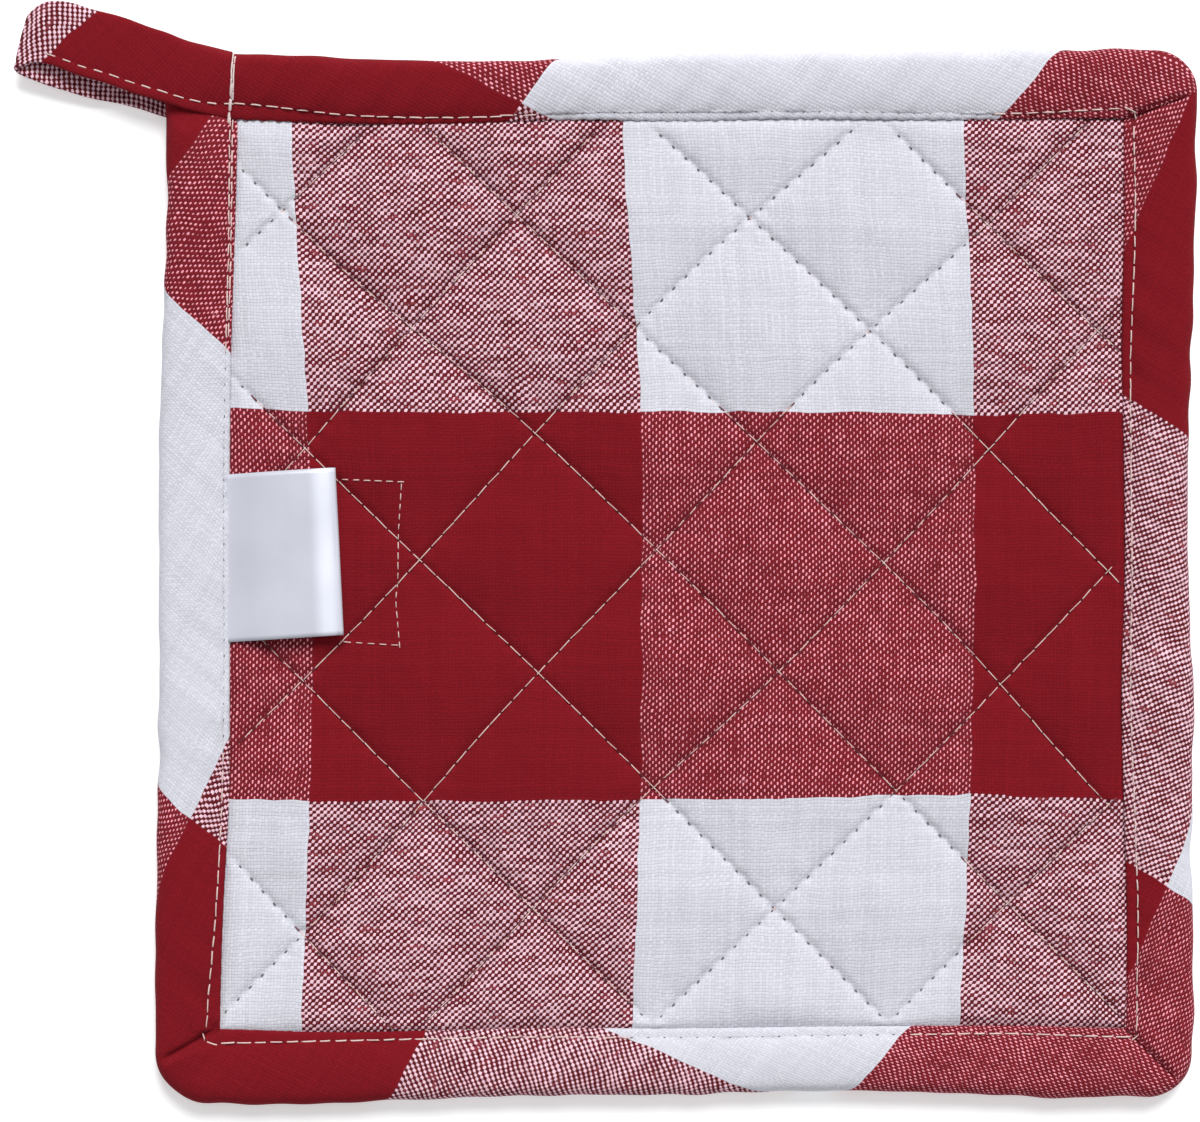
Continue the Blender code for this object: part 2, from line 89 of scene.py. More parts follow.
SEAM_STATIONS = (-90.0, -45.0, 0.0, 45.0, 90.0)
FALLING_SEAMS = (
    # offset towards the top right corner, drift at the five stations from bottom right to top left
    (-99.4, (-2.2, -1.2, -0.1, 2.0, 3.9)),
    (-64.6, (0.8, 0.3, -0.3, -0.3, -0.4)),
    (-32.2, (0.4, 0.5, 0.5, -0.5, -0.9)),
    (-0.5, (1.2, 1.5, 1.7, 0.6, -3.1)),
    (28.8, (-1.0, 1.4, 0.8, -0.5, -1.5)),
    (59.3, (0.2, 0.4, 0.8, -0.5, -2.3)),
    (90.7, (1.5, 0.7, -0.2, -0.3, -0.4)),
)
RISING_SEAMS = (
    # offset towards the top left corner, drift at the five stations from bottom left to top right
    (-90.1, (0.2, 0.1, 0.1, -0.5, -1.0)),
    (-58.8, (1.4, 0.1, -0.7, -0.1, 1.4)),
    (-26.2, (-0.8, 0.5, -1.1, -0.1, 1.9)),
    (5.0, (-3.3, -0.2, 0.9, 2.2, 0.3)),
    (37.6, (-1.1, -1.2, 0.7, 1.5, -1.4)),
    (69.7, (-5.2, -2.8, -0.2, 1.3, 2.0)),
    (103.0, (2.2, 1.1, -0.1, -1.3, -2.4)),
)
MARGIN_CELLS, MARGIN_PITCH = 2, 31.0        # mesh cells past the outermost seams, which aren't sewn
CELL_LINES = 35                 # mesh lines across one quilted diamond ...
CELL_TIGHTEST = 0.4             # ... this far apart beside a seam, when 1.4 in the middle
GRID_MARGIN, CROSSING_ROUNDS = 3.0, 8       # mesh past the outline; rounds that find where two lines cross
SCALLOP_SIDE, SCALLOP_REACH = 0.38, 1.6     # cloth bulges sideways over a seam between its needle holes
PUCKER_FROM, PUCKER_REACH = 0.7, 3.2        # puckers rise and die out at these distances from a seam
CREASE_HALF, CREASE_DEPTH, DIMPLE_DEPTH = 0.72, 0.28, 0.2      # a seam's crease, deeper at each needle hole
UNALIKE = (53.0, 911.0, 137.0)              # keeps the puckers of seams, families and sides different
SEWN_REACH = 1.1                # how far from a seam the cloth counts as sewn down, and the painted seam shade reaches
BACKING_SHIFT = (0.35, 0.4)                 # the backing is another cut, these shares of a stripe further on

# ---------------------------------------------------------------- binding

SIDES = (
    # Each row of nine drifts runs along the side in the order of the strip, left side first.
    # name, outward way, half length, line of the lip, drift of the outer edge (out +),
    # drift of the lip (in +), topstitching's distance outside the lip
    ("left", (-1, 0), HALF_HEIGHT, 85.48, (-1.0, -1.9, -1.2, -0.4, -0.4, -0.4, 0.0, 0.4, 0.3),
     (1.5, 1.0, 0.3, 0.0, 0.0, 0.0, -0.2, -1.3, -1.9), (1.4, 1.2, 1.0, 1.1, 1.1, 1.1, 1.3, 1.4, 2.6)),
    ("bottom", (0, -1), HALF_WIDTH, 87.02, (1.0, 1.5, 0.5, -0.3, -0.4, -1.1, -0.8, 0.2, -0.4),
     (-0.2, -0.8, -0.4, 0.0, -0.1, 0.2, 0.4, 0.4, 0.0), (2.6, 1.6, 1.5, 1.6, 1.7, 1.7, 1.6, 1.4, 1.6)),
    ("right", (1, 0), HALF_HEIGHT, 86.44, (0.2, 0.4, 0.0, 0.5, -0.5, -0.5, 0.3, 0.9, 1.0),
     (-0.5, -0.6, 0.0, 0.4, -0.2, 0.0, 0.4, 0.0, 0.0), (1.9, 2.0, 1.9, 1.6, 1.3, 1.3, 1.7, 2.1, 1.9)),
    ("top", (0, 1), HALF_WIDTH, 87.40, (0.8, 0.9, 0.6, 0.4, 0.1, -1.1, -1.2, -0.2, 0.5),
     (-0.4, -0.3, -0.2, -0.4, 0.0, -0.2, 0.5, 0.6, -0.2), (1.7, 1.0, 1.2, 1.2, 1.5, 1.1, 1.1, 1.5, 3.0)),
)
STRIP_START_Y = 99.6            # the strip starts at the corner under the loop ...
TACK_X = -85.2                  # ... and is the loop's tape past the bar tack
TACK_THICK_FROM = 93.4          # the bar tack is two thin strands down to this y, then one thick one
MITRE_SHARES = (0.3, 0.5, 0.22)     # where each mitre fold meets the outer edge of its corner
STATION_STEP = 1.0
CORNER_STATIONS = 44
FOLD_GATHER, FOLD_STITCH_IN = 1.7, 0.4      # stations gather at a fold, and its topstitches lie further in
NO_TURN = 9.0                   # a station's turn away from the corners; at a corner it runs from -1 to 1
LIP_SCALLOPS = (0.08, 0.08, 0.08, 0.26)     # the lip runs out at each needle hole, most on the top side
LIP_DIP = 0.15                  # ... and is lower there
STITCH_WAY_IN = 11.0            # about the way from the outer edge to the topstitching
FOLD_LEAN, FOLD_REACH = 0.8, 4.5            # bias cloth pulls into slanting folds beside the topstitching
GROOVE_DEPTH, GROOVE_HALF = 0.16, 0.7       # the topstitching's groove at each needle hole
MITRE_REACH, MITRE_MARGIN = 60.0, 12        # a mitre's stations lie this near its side's end, and some more
MITRE_HALF, MITRE_SPAN = 0.75, (0.72, 0.95)     # half the valley's width, and the shares where it ends
MITRE_LAP = 0.15                # the later side's edge lies this far over the fold
MITRE_OVER, MITRE_UNDER = (0.5, 3.0), (0.35, 2.2)   # rise of the later side, fall of the earlier, reaches
PRESSED, PRESSED_FROM, PRESSED_TO = 0.27, 84.5, 89.5    # the strip is pressed flat under the loop, by y
ROUNDED_FROM, ROUNDED_RADIUS = 94.4, 5.2    # ... and its corner there is rounded

SECTION = (
    # One turn round the strip's section, from the outer edge over the face and back below.
    # Way in: 0 outer edge, 1 topstitching, 2 lip. First two columns: round the quilt, with heights
    # in mm. Last two: the loop's flat tape, with levels as shares of half its thickness.
    (0.0, 2.7, 0.0, 0.0), (0.01, 3.6, 0.006, 0.35), (0.03, 4.5, 0.025, 0.66), (0.06, 5.25, 0.07, 0.88),
    (0.11, 5.85, 0.15, 1.0), (0.18, 6.25, 0.3, 1.06), (0.3, 6.46, 0.45, 1.06), (0.46, 6.52, 0.6, 1.03),
    (0.64, 6.4, 0.74, 0.98), (0.82, 6.05, 0.86, 0.9), (0.94, 5.65, 0.95, 0.8), (1.0, 5.38, 1.0, 0.72),
    (1.06, 5.3, 1.06, 0.76), (1.25, 5.24, 1.25, 0.84), (1.55, 5.17, 1.55, 0.86), (1.82, 5.0, 1.82, 0.78),
    (1.95, 4.78, 1.95, 0.6), (2.0, 4.55, 2.0, 0.35), (1.97, 4.37, 1.98, 0.1), (1.8, 4.2, 1.88, 0.04),
    (1.0, 4.0, 1.8, 0.03), (0.45, 3.9, 1.75, 0.02), (0.38, 2.6, 1.73, 0.0), (0.45, 1.3, 1.75, -0.02),
    (1.0, 1.25, 1.8, -0.03), (1.8, 1.2, 1.88, -0.04), (1.97, 1.15, 1.98, -0.1), (2.0, 0.85, 2.0, -0.35),
    (1.95, 0.35, 1.95, -0.65), (1.75, 0.08, 1.75, -0.85), (1.4, 0.0, 1.4, -0.88), (1.05, 0.12, 1.05, -0.72),
    (1.0, 0.3, 1.0, -0.62), (0.95, 0.12, 0.95, -0.75), (0.8, 0.0, 0.8, -0.95), (0.5, 0.0, 0.5, -1.0),
    (0.3, 0.0, 0.3, -1.0), (0.2, 0.12, 0.18, -0.98), (0.11, 0.55, 0.08, -0.86), (0.045, 1.2, 0.025, -0.62),
    (0.012, 1.9, 0.006, -0.33),
)
SECTION_STEPS = 2
FACE_FROM = (3.0, 5.0)          # the strip's side turns into its face between these heights
CREST_ROW, STITCH_ROW, LIP_ROW, INNER_ROW, BACK_STITCH_ROW = 4, 11, 17, 22, 32      # rows of SECTION

MIDDLE_LINE = (92.2, 93.75, 93.17, 93.94)       # distance of the middle line from the square's centre
STRIP_WEFT = ((44.6, 0.88), (141.3, 0.85), (229.0, 0.53), (318.3, 0.87), (407.7, 0.56), (497.1, 0.63),
              (586.1, 0.83), (681.1, 0.72), (772.1, 0.67), (866.0, 0.64))
STRIP_WARP = ((10.2, -1.4), (139.2, -2.06), (282.7, -2.28), (404.4, -2.32), (545.1, -2.3), (689.8, -1.82),
              (823.0, -1.9))

# ---------------------------------------------------------------- hanging loop

LOOP_ROWS = (
    # upper edge x, y, lower edge x, y, height of the tape's middle, its thickness, share bound
    (-85.2, 101.0, -85.2, 87.75, 5.4, 2.2, 1.0),
    (-89.9, 102.1, -89.2, 88.5, 5.6, 2.2, 0.8),
    (-95.0, 103.4, -95.4, 90.1, 5.9, 2.1, 0.35),
    (-99.2, 104.9, -101.9, 92.1, 5.8, 2.0, 0.0),
    (-105.0, 106.9, -108.4, 94.2, 5.7, 1.9, 0.0),
    (-110.7, 108.7, -114.1, 96.1, 5.3, 1.8, 0.0),
    (-116.2, 110.1, -119.1, 97.8, 4.9, 1.8, 0.0),
    (-120.5, 110.5, -123.1, 98.7, 4.5, 1.7, 0.0),
    (-122.9, 109.4, -125.6, 98.0, 4.1, 1.7, 0.0),
    (-123.6, 108.1, -126.6, 97.3, 3.7, 1.7, 0.0),
    (-122.6, 107.0, -125.8, 96.4, 3.2, 1.6, 0.0),
    (-119.3, 106.2, -122.5, 95.1, 2.7, 1.6, 0.0),
    (-111.2, 103.9, -114.4, 92.6, 2.0, 1.5, 0.0),
    (-104.4, 102.0, -107.4, 91.2, 1.3, 1.5, 0.0),
    (-97.8, 99.4, -101.2, 89.5, 0.9, 1.4, 0.0),
    (-94.4, 97.8, -97.4, 88.4, 1.0, 1.2, 0.0),
)
LOOP_STEPS = 12
LOOP_STITCH_OUT = (2.9, 2.3, 1.9, 1.8, 1.8, 1.8, 1.8, 1.6, 1.2, 1.2, 1.3, 1.5, 1.6, 1.6, 1.6, 1.6)
LOOP_STITCHED_ROWS = 6.4        # the front leg's topstitching ends at this row
TAPE_GROOVE, TAPE_GROOVE_HALF = 0.12, 0.06      # depth in mm, and half the width as a way-in reading

# ---------------------------------------------------------------- panel check, label, box stitch

WARP_BAND, WEFT_BAND = 64.0, 74.5       # widths of the cloth's stripes
RED_END, RED_END_LEFT = 5 * WARP_BAND, 1.5      # the right side's red stripe ends under the last mitre
PANEL_WARP = (
    # Boundaries between warp stripes, x at seven even steps from the top lip to the bottom lip.
    (-73.6, -72.2, -70.3, -69.5, -69.6, -70.6, -71.6),
    (-10.0, -8.2, -6.4, -6.4, -6.5, -7.0, -8.2),
    (55.5, 56.8, 57.7, 57.8, 57.4, 56.2, 54.9),
)
PANEL_WEFT = (
    # Boundaries between weft stripes, y at seven even steps from the left lip to the right lip.
    (32.0, 31.4, 31.4, 31.4, 31.4, 30.9, 31.3),
    (-43.2, -43.4, -43.2, -43.1, -42.8, -42.2, -43.2),
)
LABEL_CORNERS = {"lip_top": (-86.6, 19.4), "lip_bottom": (-87.0, -12.9),
                 "fold_top": (-65.8, 20.7), "fold_bottom": (-64.2, -11.4)}
LABEL_CUT = (32.3, 45.0)        # ribbon width, and length before it is folded
PLY_STEPS, FOLD_STEPS, RIBBON_STEPS = 26, 12, 34    # mesh steps along a ply, round the fold and across
LABEL_LIP_HEIGHT, PLY_CLEAR = CAVITY_TOP + 0.5, 0.25
UPPER_PLY_SWELL, SELVEDGE_DROP = 0.35, 0.25     # the upper ply bulges, and both plies fall at their edges
BOX_STITCH = (                  # three straight-sewn parts: top, right and bottom
    ((-64.3, 18.5), (-52.4, 18.0)),
    ((-52.4, 18.0), (-53.1, 8.2), (-53.2, -0.9), (-53.6, -4.7), (-52.8, -13.4)),
    ((-52.8, -13.4), (-63.0, -12.8)),
)
SEAM_LOOKS = (
    # yarns along the seam, thread's lift, and the painted-shade needle mark's length, radius and colour
    ("white", -0.36, 0.5, 0.18, "6E666A"),
    ("white_weft", -0.11, 1.3, 0.16, "74444C"),
    ("white_warp", -0.085, 1.7, 0.17, "64202A"),
    ("red", 0.02, 0.45, 0.15, "4A0F18"),
)
EDGE_STITCHES_FROM = 87.0       # the first side's topstitching starts below the loop ...
DOUBLED_DOWN_TO = 46.0          # ... and is sewn over twice down to this y
DOUBLED_BESIDE = (0.45, 0.0, -0.1)          # how the second row lies off the first
TACK_LEAN, TACK_STEP = (0.4, -0.5), 0.5     # the bar tack's x at its two ends, from the strip's end
TACK_STRANDS, THICK_STRAND = ((0.0, 0.0, 0.08), (0.36, -0.6, 0.1)), (0.0, 0.0, 0.14)

QUILT_STITCH, BOX_PITCH, EDGE_STITCH, LOOP_STITCH = 3.25, 1.9, 3.0, 3.2
STITCH_POINTS = 6               # points of a sewn row for each stitch
HOLE_SINK, THREAD_LIFT, LOOP_THREAD_LIFT = 0.1, 0.03, 0.1
STITCHES = {
    # pitch of the stitches, their length, arch, sink and radius; None stands for the thread's own radius
    "quilting": (QUILT_STITCH, 2.95, 0.12, 0.16, None),
    "quilting_below": (QUILT_STITCH, 2.95, -0.12, -0.16, None),
    "edge": (EDGE_STITCH, 2.5, 0.17, 0.16, 0.14),
    "edge_below": (EDGE_STITCH, 2.5, -0.085, -0.16, 0.14),
    # dark marks of painted shade at the topstitching's needle holes
    "edge_hole_shade": (EDGE_STITCH, 0.45, 0.0, HOLE_SINK, 0.11),
    "box": (BOX_PITCH, 1.3, 0.24, 0.13, None),
    "loop": (LOOP_STITCH, 1.85, 0.2, 0.12, 0.14),
    "tack_start": (1.5, 1.8, 0.14, 0.04, 0.16),
    "tack": (2.0, 2.5, 0.24, 0.06, 0.27),
}
FLOOR_SIZE, FLOOR_GAP = 6.0, 0.0002         # m
KEY_FROM, KEY_SOFTNESS = (0.15, 0.70, 0.74), 32.0   # the key light's place in m, and its spread in degrees
VIEW_CENTRE = (-14.3, 2.8, 5.0)

DICE_SEED = 11
WAVES = {
    # unevenness that sewing and handling leave: height, wavelength and seed of each wave
    "seam_puckers": ((0.6, 7.0, 21), (0.4, 3.6, 22)),       # heights as shares of the setting
    "quilt_swell": ((0.2, 16.0, 31), (0.07, 6.0, 32)),
    "outer_edge": ((0.12, 9.0, 41), (0.1, 22.0, 42)),
    "slanting_folds": ((1.0, 7.5, 43),),                    # height as a share of the setting
    "binding_swell": ((0.18, 26.0, 44),),
    "lip_height": ((0.12, 8.0, 45),),
    "tape_height": ((0.12, 9.0, 51),),
    "tape_side": ((0.12, 11.0, 52),),
    "ribbon": ((0.22, 15.0, 61),),
}


# ---------------------------------------------------------------- small tools

def linear(hex_colour):
    """An sRGB hex colour as linear values."""
    values = [int(hex_colour[k:k + 2], 16) / 255 for k in (0, 2, 4)]
    return tuple(v / 12.92 if v <= 0.04045 else ((v + 0.055) / 1.055) ** 2.4 for v in values)


def node(tree, kind, inputs=(), **settings):
    """Add one node. Inputs go to its sockets by order, name or index; a node means its first output."""
    made = tree.nodes.new(kind)
    for name, value in settings.items():
        setattr(made, name, value)
    pairs = inputs.items() if isinstance(inputs, dict) else enumerate(inputs)
    for key, value in pairs:
        if isinstance(value, bpy.types.Node):
            value = value.outputs[0]
        if isinstance(value, bpy.types.NodeSocket):
            tree.links.new(value, made.inputs[key])
        else:
            made.inputs[key].default_value = value
    return made


def math_node(tree, operation, *inputs):
    return node(tree, "ShaderNodeMath", inputs, operation=operation)


def vector_node(tree, operation, *inputs):
    return node(tree, "ShaderNodeVectorMath", inputs, operation=operation)


def place(points):
    """Points of the tables, as a list or an array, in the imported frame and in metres."""
    points = np.asarray(points, float)
    return (points - np.array((*ORIGIN, 0.0))) * MM


def steps_round(position, last):
    """Numbers of the four values round a position counted in steps, and its share of the step it is in."""
    position = np.clip(np.asarray(position, float), 0.0, last)
    i = np.minimum(position.astype(int), last - 1)
    return [np.clip(i + k, 0, last) for k in (-1, 0, 1, 2)], position - i


def catmull_rom(a, b, c, d, t):
    """Smooth reading between b and c, which a comes before and d after."""
    curve = 2 * b + (c - a) * t + (2 * a - 5 * b + 4 * c - d) * t ** 2 + (3 * b - a - 3 * c + d) * t ** 3
    return 0.5 * curve


def smooth_between(values, position):
    """Catmull-Rom reading of evenly spaced values or rows, at positions counted in steps."""
    values = np.asarray(values, float)
    around, t = steps_round(position, len(values) - 1)
    if values.ndim > 1:
        t = t[..., None]
    return catmull_rom(*(values[k] for k in around), t)


def smooth_step(low, high, value):
    """0 below the low value, 1 above the high one, and a smooth rise between them."""
    share = np.clip((value - low) / (high - low), 0.0, 1.0)
    return share * share * (3.0 - 2.0 * share)


def ripple(x, y, wavelength, seed):
    """Smooth uneven waves between about -1 and 1, the same each run."""
    dice = random.Random(seed)
    total = np.zeros_like(np.asarray(x, float) + np.asarray(y, float))
    count = 6
    for _ in range(count):
        way = dice.uniform(0, 2 * math.pi)
        pace = 2 * math.pi / (wavelength * dice.uniform(0.7, 1.5))
        total += np.sin((x * math.cos(way) + y * math.sin(way)) * pace + dice.uniform(0, 2 * math.pi))
    return total / math.sqrt(count)


def waves(kind, x, y=0.0):
    """The unevenness of one kind of WAVES at points."""
    return sum(height * ripple(x, y, wavelength, seed) for height, wavelength, seed in WAVES[kind])


def needle_beat(along, pitch):
    """1 at each needle hole of a row of stitches, and 0 halfway between two."""
    return 0.5 + 0.5 * np.cos(2 * math.pi * along / pitch)


def length_along(points):
    """How far along a polyline each of its points is."""
    return np.concatenate([[0.0], np.cumsum(np.linalg.norm(np.diff(points, axis=0), axis=1))])


def unit(vectors):
    return vectors / np.linalg.norm(vectors, axis=-1, keepdims=True)


def new_object(name, mesh, material):
    obj = bpy.data.objects.new(name, mesh)
    bpy.context.scene.collection.objects.link(obj)
    if material:
        mesh.materials.append(material)
    return obj


def mesh_of(name, points, faces, corner_uv):
    """A mesh from points in the tables' millimetres, with cloth coordinates for each face corner."""
    mesh = bpy.data.meshes.new(name)
    mesh.from_pydata(place(points).tolist(), [], faces)
    layer = mesh.uv_layers.new(name=CLOTH_UV)
    layer.data.foreach_set("uv", np.asarray(corner_uv, np.float32).ravel())
    mesh.shade_smooth()
    return mesh


def outward_faces(mesh):
    """Turn the faces of a closed mesh outwards."""
    bm = bmesh.new()
    bm.from_mesh(mesh)
    bmesh.ops.recalc_face_normals(bm, faces=bm.faces)
    bm.to_mesh(mesh)
    bm.free()


def finish_piece(obj, *nodes, slot=None):
    """Tie a piece to the body and hide the imported nodes that it stands for; the slot is not used."""
    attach(obj, BODY)
    if nodes:
        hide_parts(*nodes)


# ---------------------------------------------------------------- quilted panel

def to_diagonal(x, y):
    """Distance towards the top right corner, and towards the top left corner."""
    return (x + y) / math.sqrt(2), (y - x) / math.sqrt(2)


def from_diagonal(up_right, up_left):
    return (up_right - up_left) / math.sqrt(2), (up_right + up_left) / math.sqrt(2)


def seam_offset(seam, station):
    base, drift = seam
    step = SEAM_STATIONS[1] - SEAM_STATIONS[0]
    return base + smooth_between(drift, (np.asarray(station) - SEAM_STATIONS[0]) / step)


def lattice_lines(seams):
    """The sewn lines with unsewn ones added on both sides, so that the mesh covers the corners."""
    flat = (0.0,) * len(SEAM_STATIONS)
    before = [(seams[0][0] - MARGIN_PITCH * k, flat) for k in range(MARGIN_CELLS, 0, -1)]
    after = [(seams[-1][0] + MARGIN_PITCH * k, flat) for k in range(1, MARGIN_CELLS + 1)]
    return before + list(seams) + after


def lattice_rows(seams):
    """Bases and drifts of all mesh lines of one family, closer together beside the seams."""
    weights = CELL_TIGHTEST + np.sin(math.pi * (np.arange(CELL_LINES) + 0.5) / CELL_LINES)
    steps = np.concatenate([[0.0], np.cumsum(weights)[:-1]]) / weights.sum()
    lines = lattice_lines(seams)
    rows = []
    for low, high in zip(lines, lines[1:]):
        for step in steps:
            drift = np.array(low[1]) * (1 - step) + np.array(high[1]) * step
            rows.append(np.concatenate([[low[0] * (1 - step) + high[0] * step], drift]))
    rows.append(np.concatenate([[lines[-1][0]], lines[-1][1]]))
    return np.array(rows)


def rows_offset(rows, station):
    """Offsets of mesh lines at stations; rows and stations are arrays of one shape."""
    step = SEAM_STATIONS[1] - SEAM_STATIONS[0]
    around, t = steps_round((station - SEAM_STATIONS[0]) / step, len(SEAM_STATIONS) - 1)
    drifts = (np.take_along_axis(rows[..., 1:], k[..., None], -1)[..., 0] for k in around)
    return rows[..., 0] + catmull_rom(*drifts, t)


def seam_cell(seams, offset, station):
    """Signed distance to the nearest seam of one family, its number, and the seams below the point."""
    gaps = np.stack([offset - seam_offset(seam, station) for seam in seams])
    nearest = np.abs(gaps).argmin(0)
    return np.take_along_axis(gaps, nearest[None], 0)[0], nearest, (gaps > 0).sum(0)


def crown_factors():
    """One height factor for each quilted diamond, as in the solid."""
    dice = random.Random(DICE_SEED)
    return np.array([[1.0 + CROWN_SPREAD * dice.uniform(-1, 1) for _ in range(len(RISING_SEAMS) + 1)]
                     for _ in range(len(FALLING_SEAMS) + 1)])


CROWNS = crown_factors()


def inside_lip(x, y):
    """Distance in from the binding's lip; negative under it."""
    nearest = np.full(np.shape(x), np.inf)
    for _, outward, half, line, _, drift, _ in SIDES:
        along = x * -outward[1] + y * outward[0]
        share = (along + half) / (2 * half)
        lip = line - smooth_between(drift, share * (len(drift) - 1))
        nearest = np.minimum(nearest, lip - (x * outward[0] + y * outward[1]))
    return nearest - GAP


def seam_scallop(gap, along):
    """Sideways shift of a seam's valley: the cloth bulges over it between the needle holes."""
    return SCALLOP_SIDE * np.cos(2 * math.pi * along / QUILT_STITCH) * np.exp(-np.abs(gap) / SCALLOP_REACH)


def seam_pull(gap, along, number, family, quilt):
    """Puckers that fan out from a seam, different on its two sides, and the dimples of its stitches."""
    near = np.abs(gap)
    lane = number * UNALIKE[0] + family * UNALIKE[1] + np.where(gap > 0, 0.0, UNALIKE[2])
    fading = np.exp(-near / PUCKER_REACH) * (1.0 - np.exp(-near / PUCKER_FROM))
    puckers = quilt.pucker / MM * waves("seam_puckers", along, lane) * fading
    depth = CREASE_DEPTH + DIMPLE_DEPTH * needle_beat(along, QUILT_STITCH)
    return puckers - np.exp(-(near / CREASE_HALF) ** 2) * depth


def quilt_heights(x, y, quilt):
    """Underside and face of the quilt at points."""
    up_right, up_left = to_diagonal(x, y)
    falling, falling_number, row = seam_cell(FALLING_SEAMS, up_right, up_left)
    rising, rising_number, column = seam_cell(RISING_SEAMS, up_left, up_right)
    falling = falling + seam_scallop(falling, up_left)
    rising = rising + seam_scallop(rising, up_right)
    crown, seam = quilt.crown / MM, quilt.seam / MM
    fill = (1.0 - np.exp(-np.abs(falling) / PUFF_REACH)) * (1.0 - np.exp(-np.abs(rising) / PUFF_REACH))
    inside = inside_lip(x, y)
    rise = 1.0 - np.exp(-np.maximum(inside, 0.0) / LIP_RISE)
    step_up = smooth_step(*STEP_UP, inside)
    face = EDGE_TOP + (LIP_SIDE - EDGE_TOP) * step_up + (seam - LIP_SIDE) * rise
    face = face + (crown - seam) * rise * fill * CROWNS[row, column]
    detail = seam_pull(falling, up_left, falling_number, 0, quilt)
    detail = detail + seam_pull(rising, up_right, rising_number, 1, quilt)
    detail = detail + waves("quilt_swell", x, y) * fill
    face = face + detail * np.clip(rise * DETAIL_RISE, 0.0, 1.0)
    underside = EDGE_BOTTOM * (1.0 - smooth_step(0.0, 1.0, rise * fill / (FLAT_FROM * FULL_FILL)))
    return np.maximum(underside, 0.0), face


def seam_nearness(x, y):
    """1 on a quilting seam, falling to 0 about 2 mm away."""
    up_right, up_left = to_diagonal(x, y)
    falling = seam_cell(FALLING_SEAMS, up_right, up_left)[0]
    rising = seam_cell(RISING_SEAMS, up_left, up_right)[0]
    return np.exp(-(np.minimum(np.abs(falling), np.abs(rising)) / SEWN_REACH) ** 2)


def panel_check(x, y):
    """Cloth coordinates on the panel: u counts across the warp stripes, v across the weft stripes."""
    top, bottom = SIDES[3][3], -SIDES[1][3]
    left, right = -SIDES[0][3], SIDES[2][3]
    down = (top - y) / (top - bottom) * (len(PANEL_WARP[0]) - 1)
    across = (x - left) / (right - left) * (len(PANEL_WEFT[0]) - 1)
    u = stripe_count(np.stack([smooth_between(line, down) for line in PANEL_WARP]), x, WARP_BAND)
    v = stripe_count(np.stack([-smooth_between(line, across) for line in PANEL_WEFT]), -y, WEFT_BAND)
    return u - WARP_BAND, v - WEFT_BAND


def stripe_count(boundaries, value, band):
    """Cloth coordinate of a value among rising boundaries: whole bands below it and a share of its own."""
    below = (value > boundaries).sum(0)
    low = np.clip(below - 1, 0, len(boundaries) - 2)
    a = np.take_along_axis(boundaries, low[None], 0)[0]
    b = np.take_along_axis(boundaries, low[None] + 1, 0)[0]
    return band * (low + 1 + (value - a) / (b - a))


def panel_grid():
    """Points and quads of a flat grid laid along the seams, a little past the quilt's outline."""
    falling, rising = lattice_rows(FALLING_SEAMS), lattice_rows(RISING_SEAMS)
    across, up = np.meshgrid(np.arange(len(falling)), np.arange(len(rising)), indexing="ij")
    up_right, up_left = falling[across][..., 0], rising[up][..., 0]
    for _ in range(CROSSING_ROUNDS):
        up_right = rows_offset(falling[across], up_left)
        up_left = rows_offset(rising[up], up_right)
    falling_gap = seam_cell(FALLING_SEAMS, up_right, up_left)[0]
    rising_gap = seam_cell(RISING_SEAMS, up_left, up_right)[0]
    x, y = from_diagonal(up_right - seam_scallop(falling_gap, up_left),
                         up_left - seam_scallop(rising_gap, up_right))
    keep = ((x > QUILT_LEFT - GRID_MARGIN) & (x < QUILT_RIGHT + GRID_MARGIN)
            & (y > QUILT_BOTTOM - GRID_MARGIN) & (y < QUILT_TOP + GRID_MARGIN))
    number = np.arange(x.size).reshape(x.shape)
    quads = np.stack([number[:-1, :-1], number[1:, :-1], number[1:, 1:], number[:-1, 1:]], -1)
    quads = quads.reshape(-1, 4)
    quads = quads[keep.ravel()[quads].all(1)]
    used, quads = np.unique(quads, return_inverse=True)
    points = np.stack([x.ravel()[used], y.ravel()[used], np.zeros(len(used))], -1)
    return points.tolist(), quads.reshape(-1, 4).tolist()


def cut_outline(bm):
    """Cut a flat grid to the quilt's four sides and across its four corners."""
    cuts = [((QUILT_LEFT, 0), (-1, 0)), ((QUILT_RIGHT, 0), (1, 0)), ((0, QUILT_BOTTOM), (0, -1)),
            ((0, QUILT_TOP), (0, 1))]
    for corner in ((QUILT_LEFT, QUILT_TOP), (QUILT_LEFT, QUILT_BOTTOM),
                   (QUILT_RIGHT, QUILT_BOTTOM), (QUILT_RIGHT, QUILT_TOP)):
        way = Vector([math.copysign(1, value) for value in corner]).normalized()
        cuts.append((Vector(corner) - way * QUILT_CORNER_CUT, way))
    for point, outward in cuts:
        geometry = bm.verts[:] + bm.edges[:] + bm.faces[:]
        bmesh.ops.bisect_plane(bm, geom=geometry, dist=0.02, plane_co=(*point, 0.0),
                               plane_no=(*outward, 0.0), clear_outer=True)
    bmesh.ops.remove_doubles(bm, verts=bm.verts, dist=0.08)


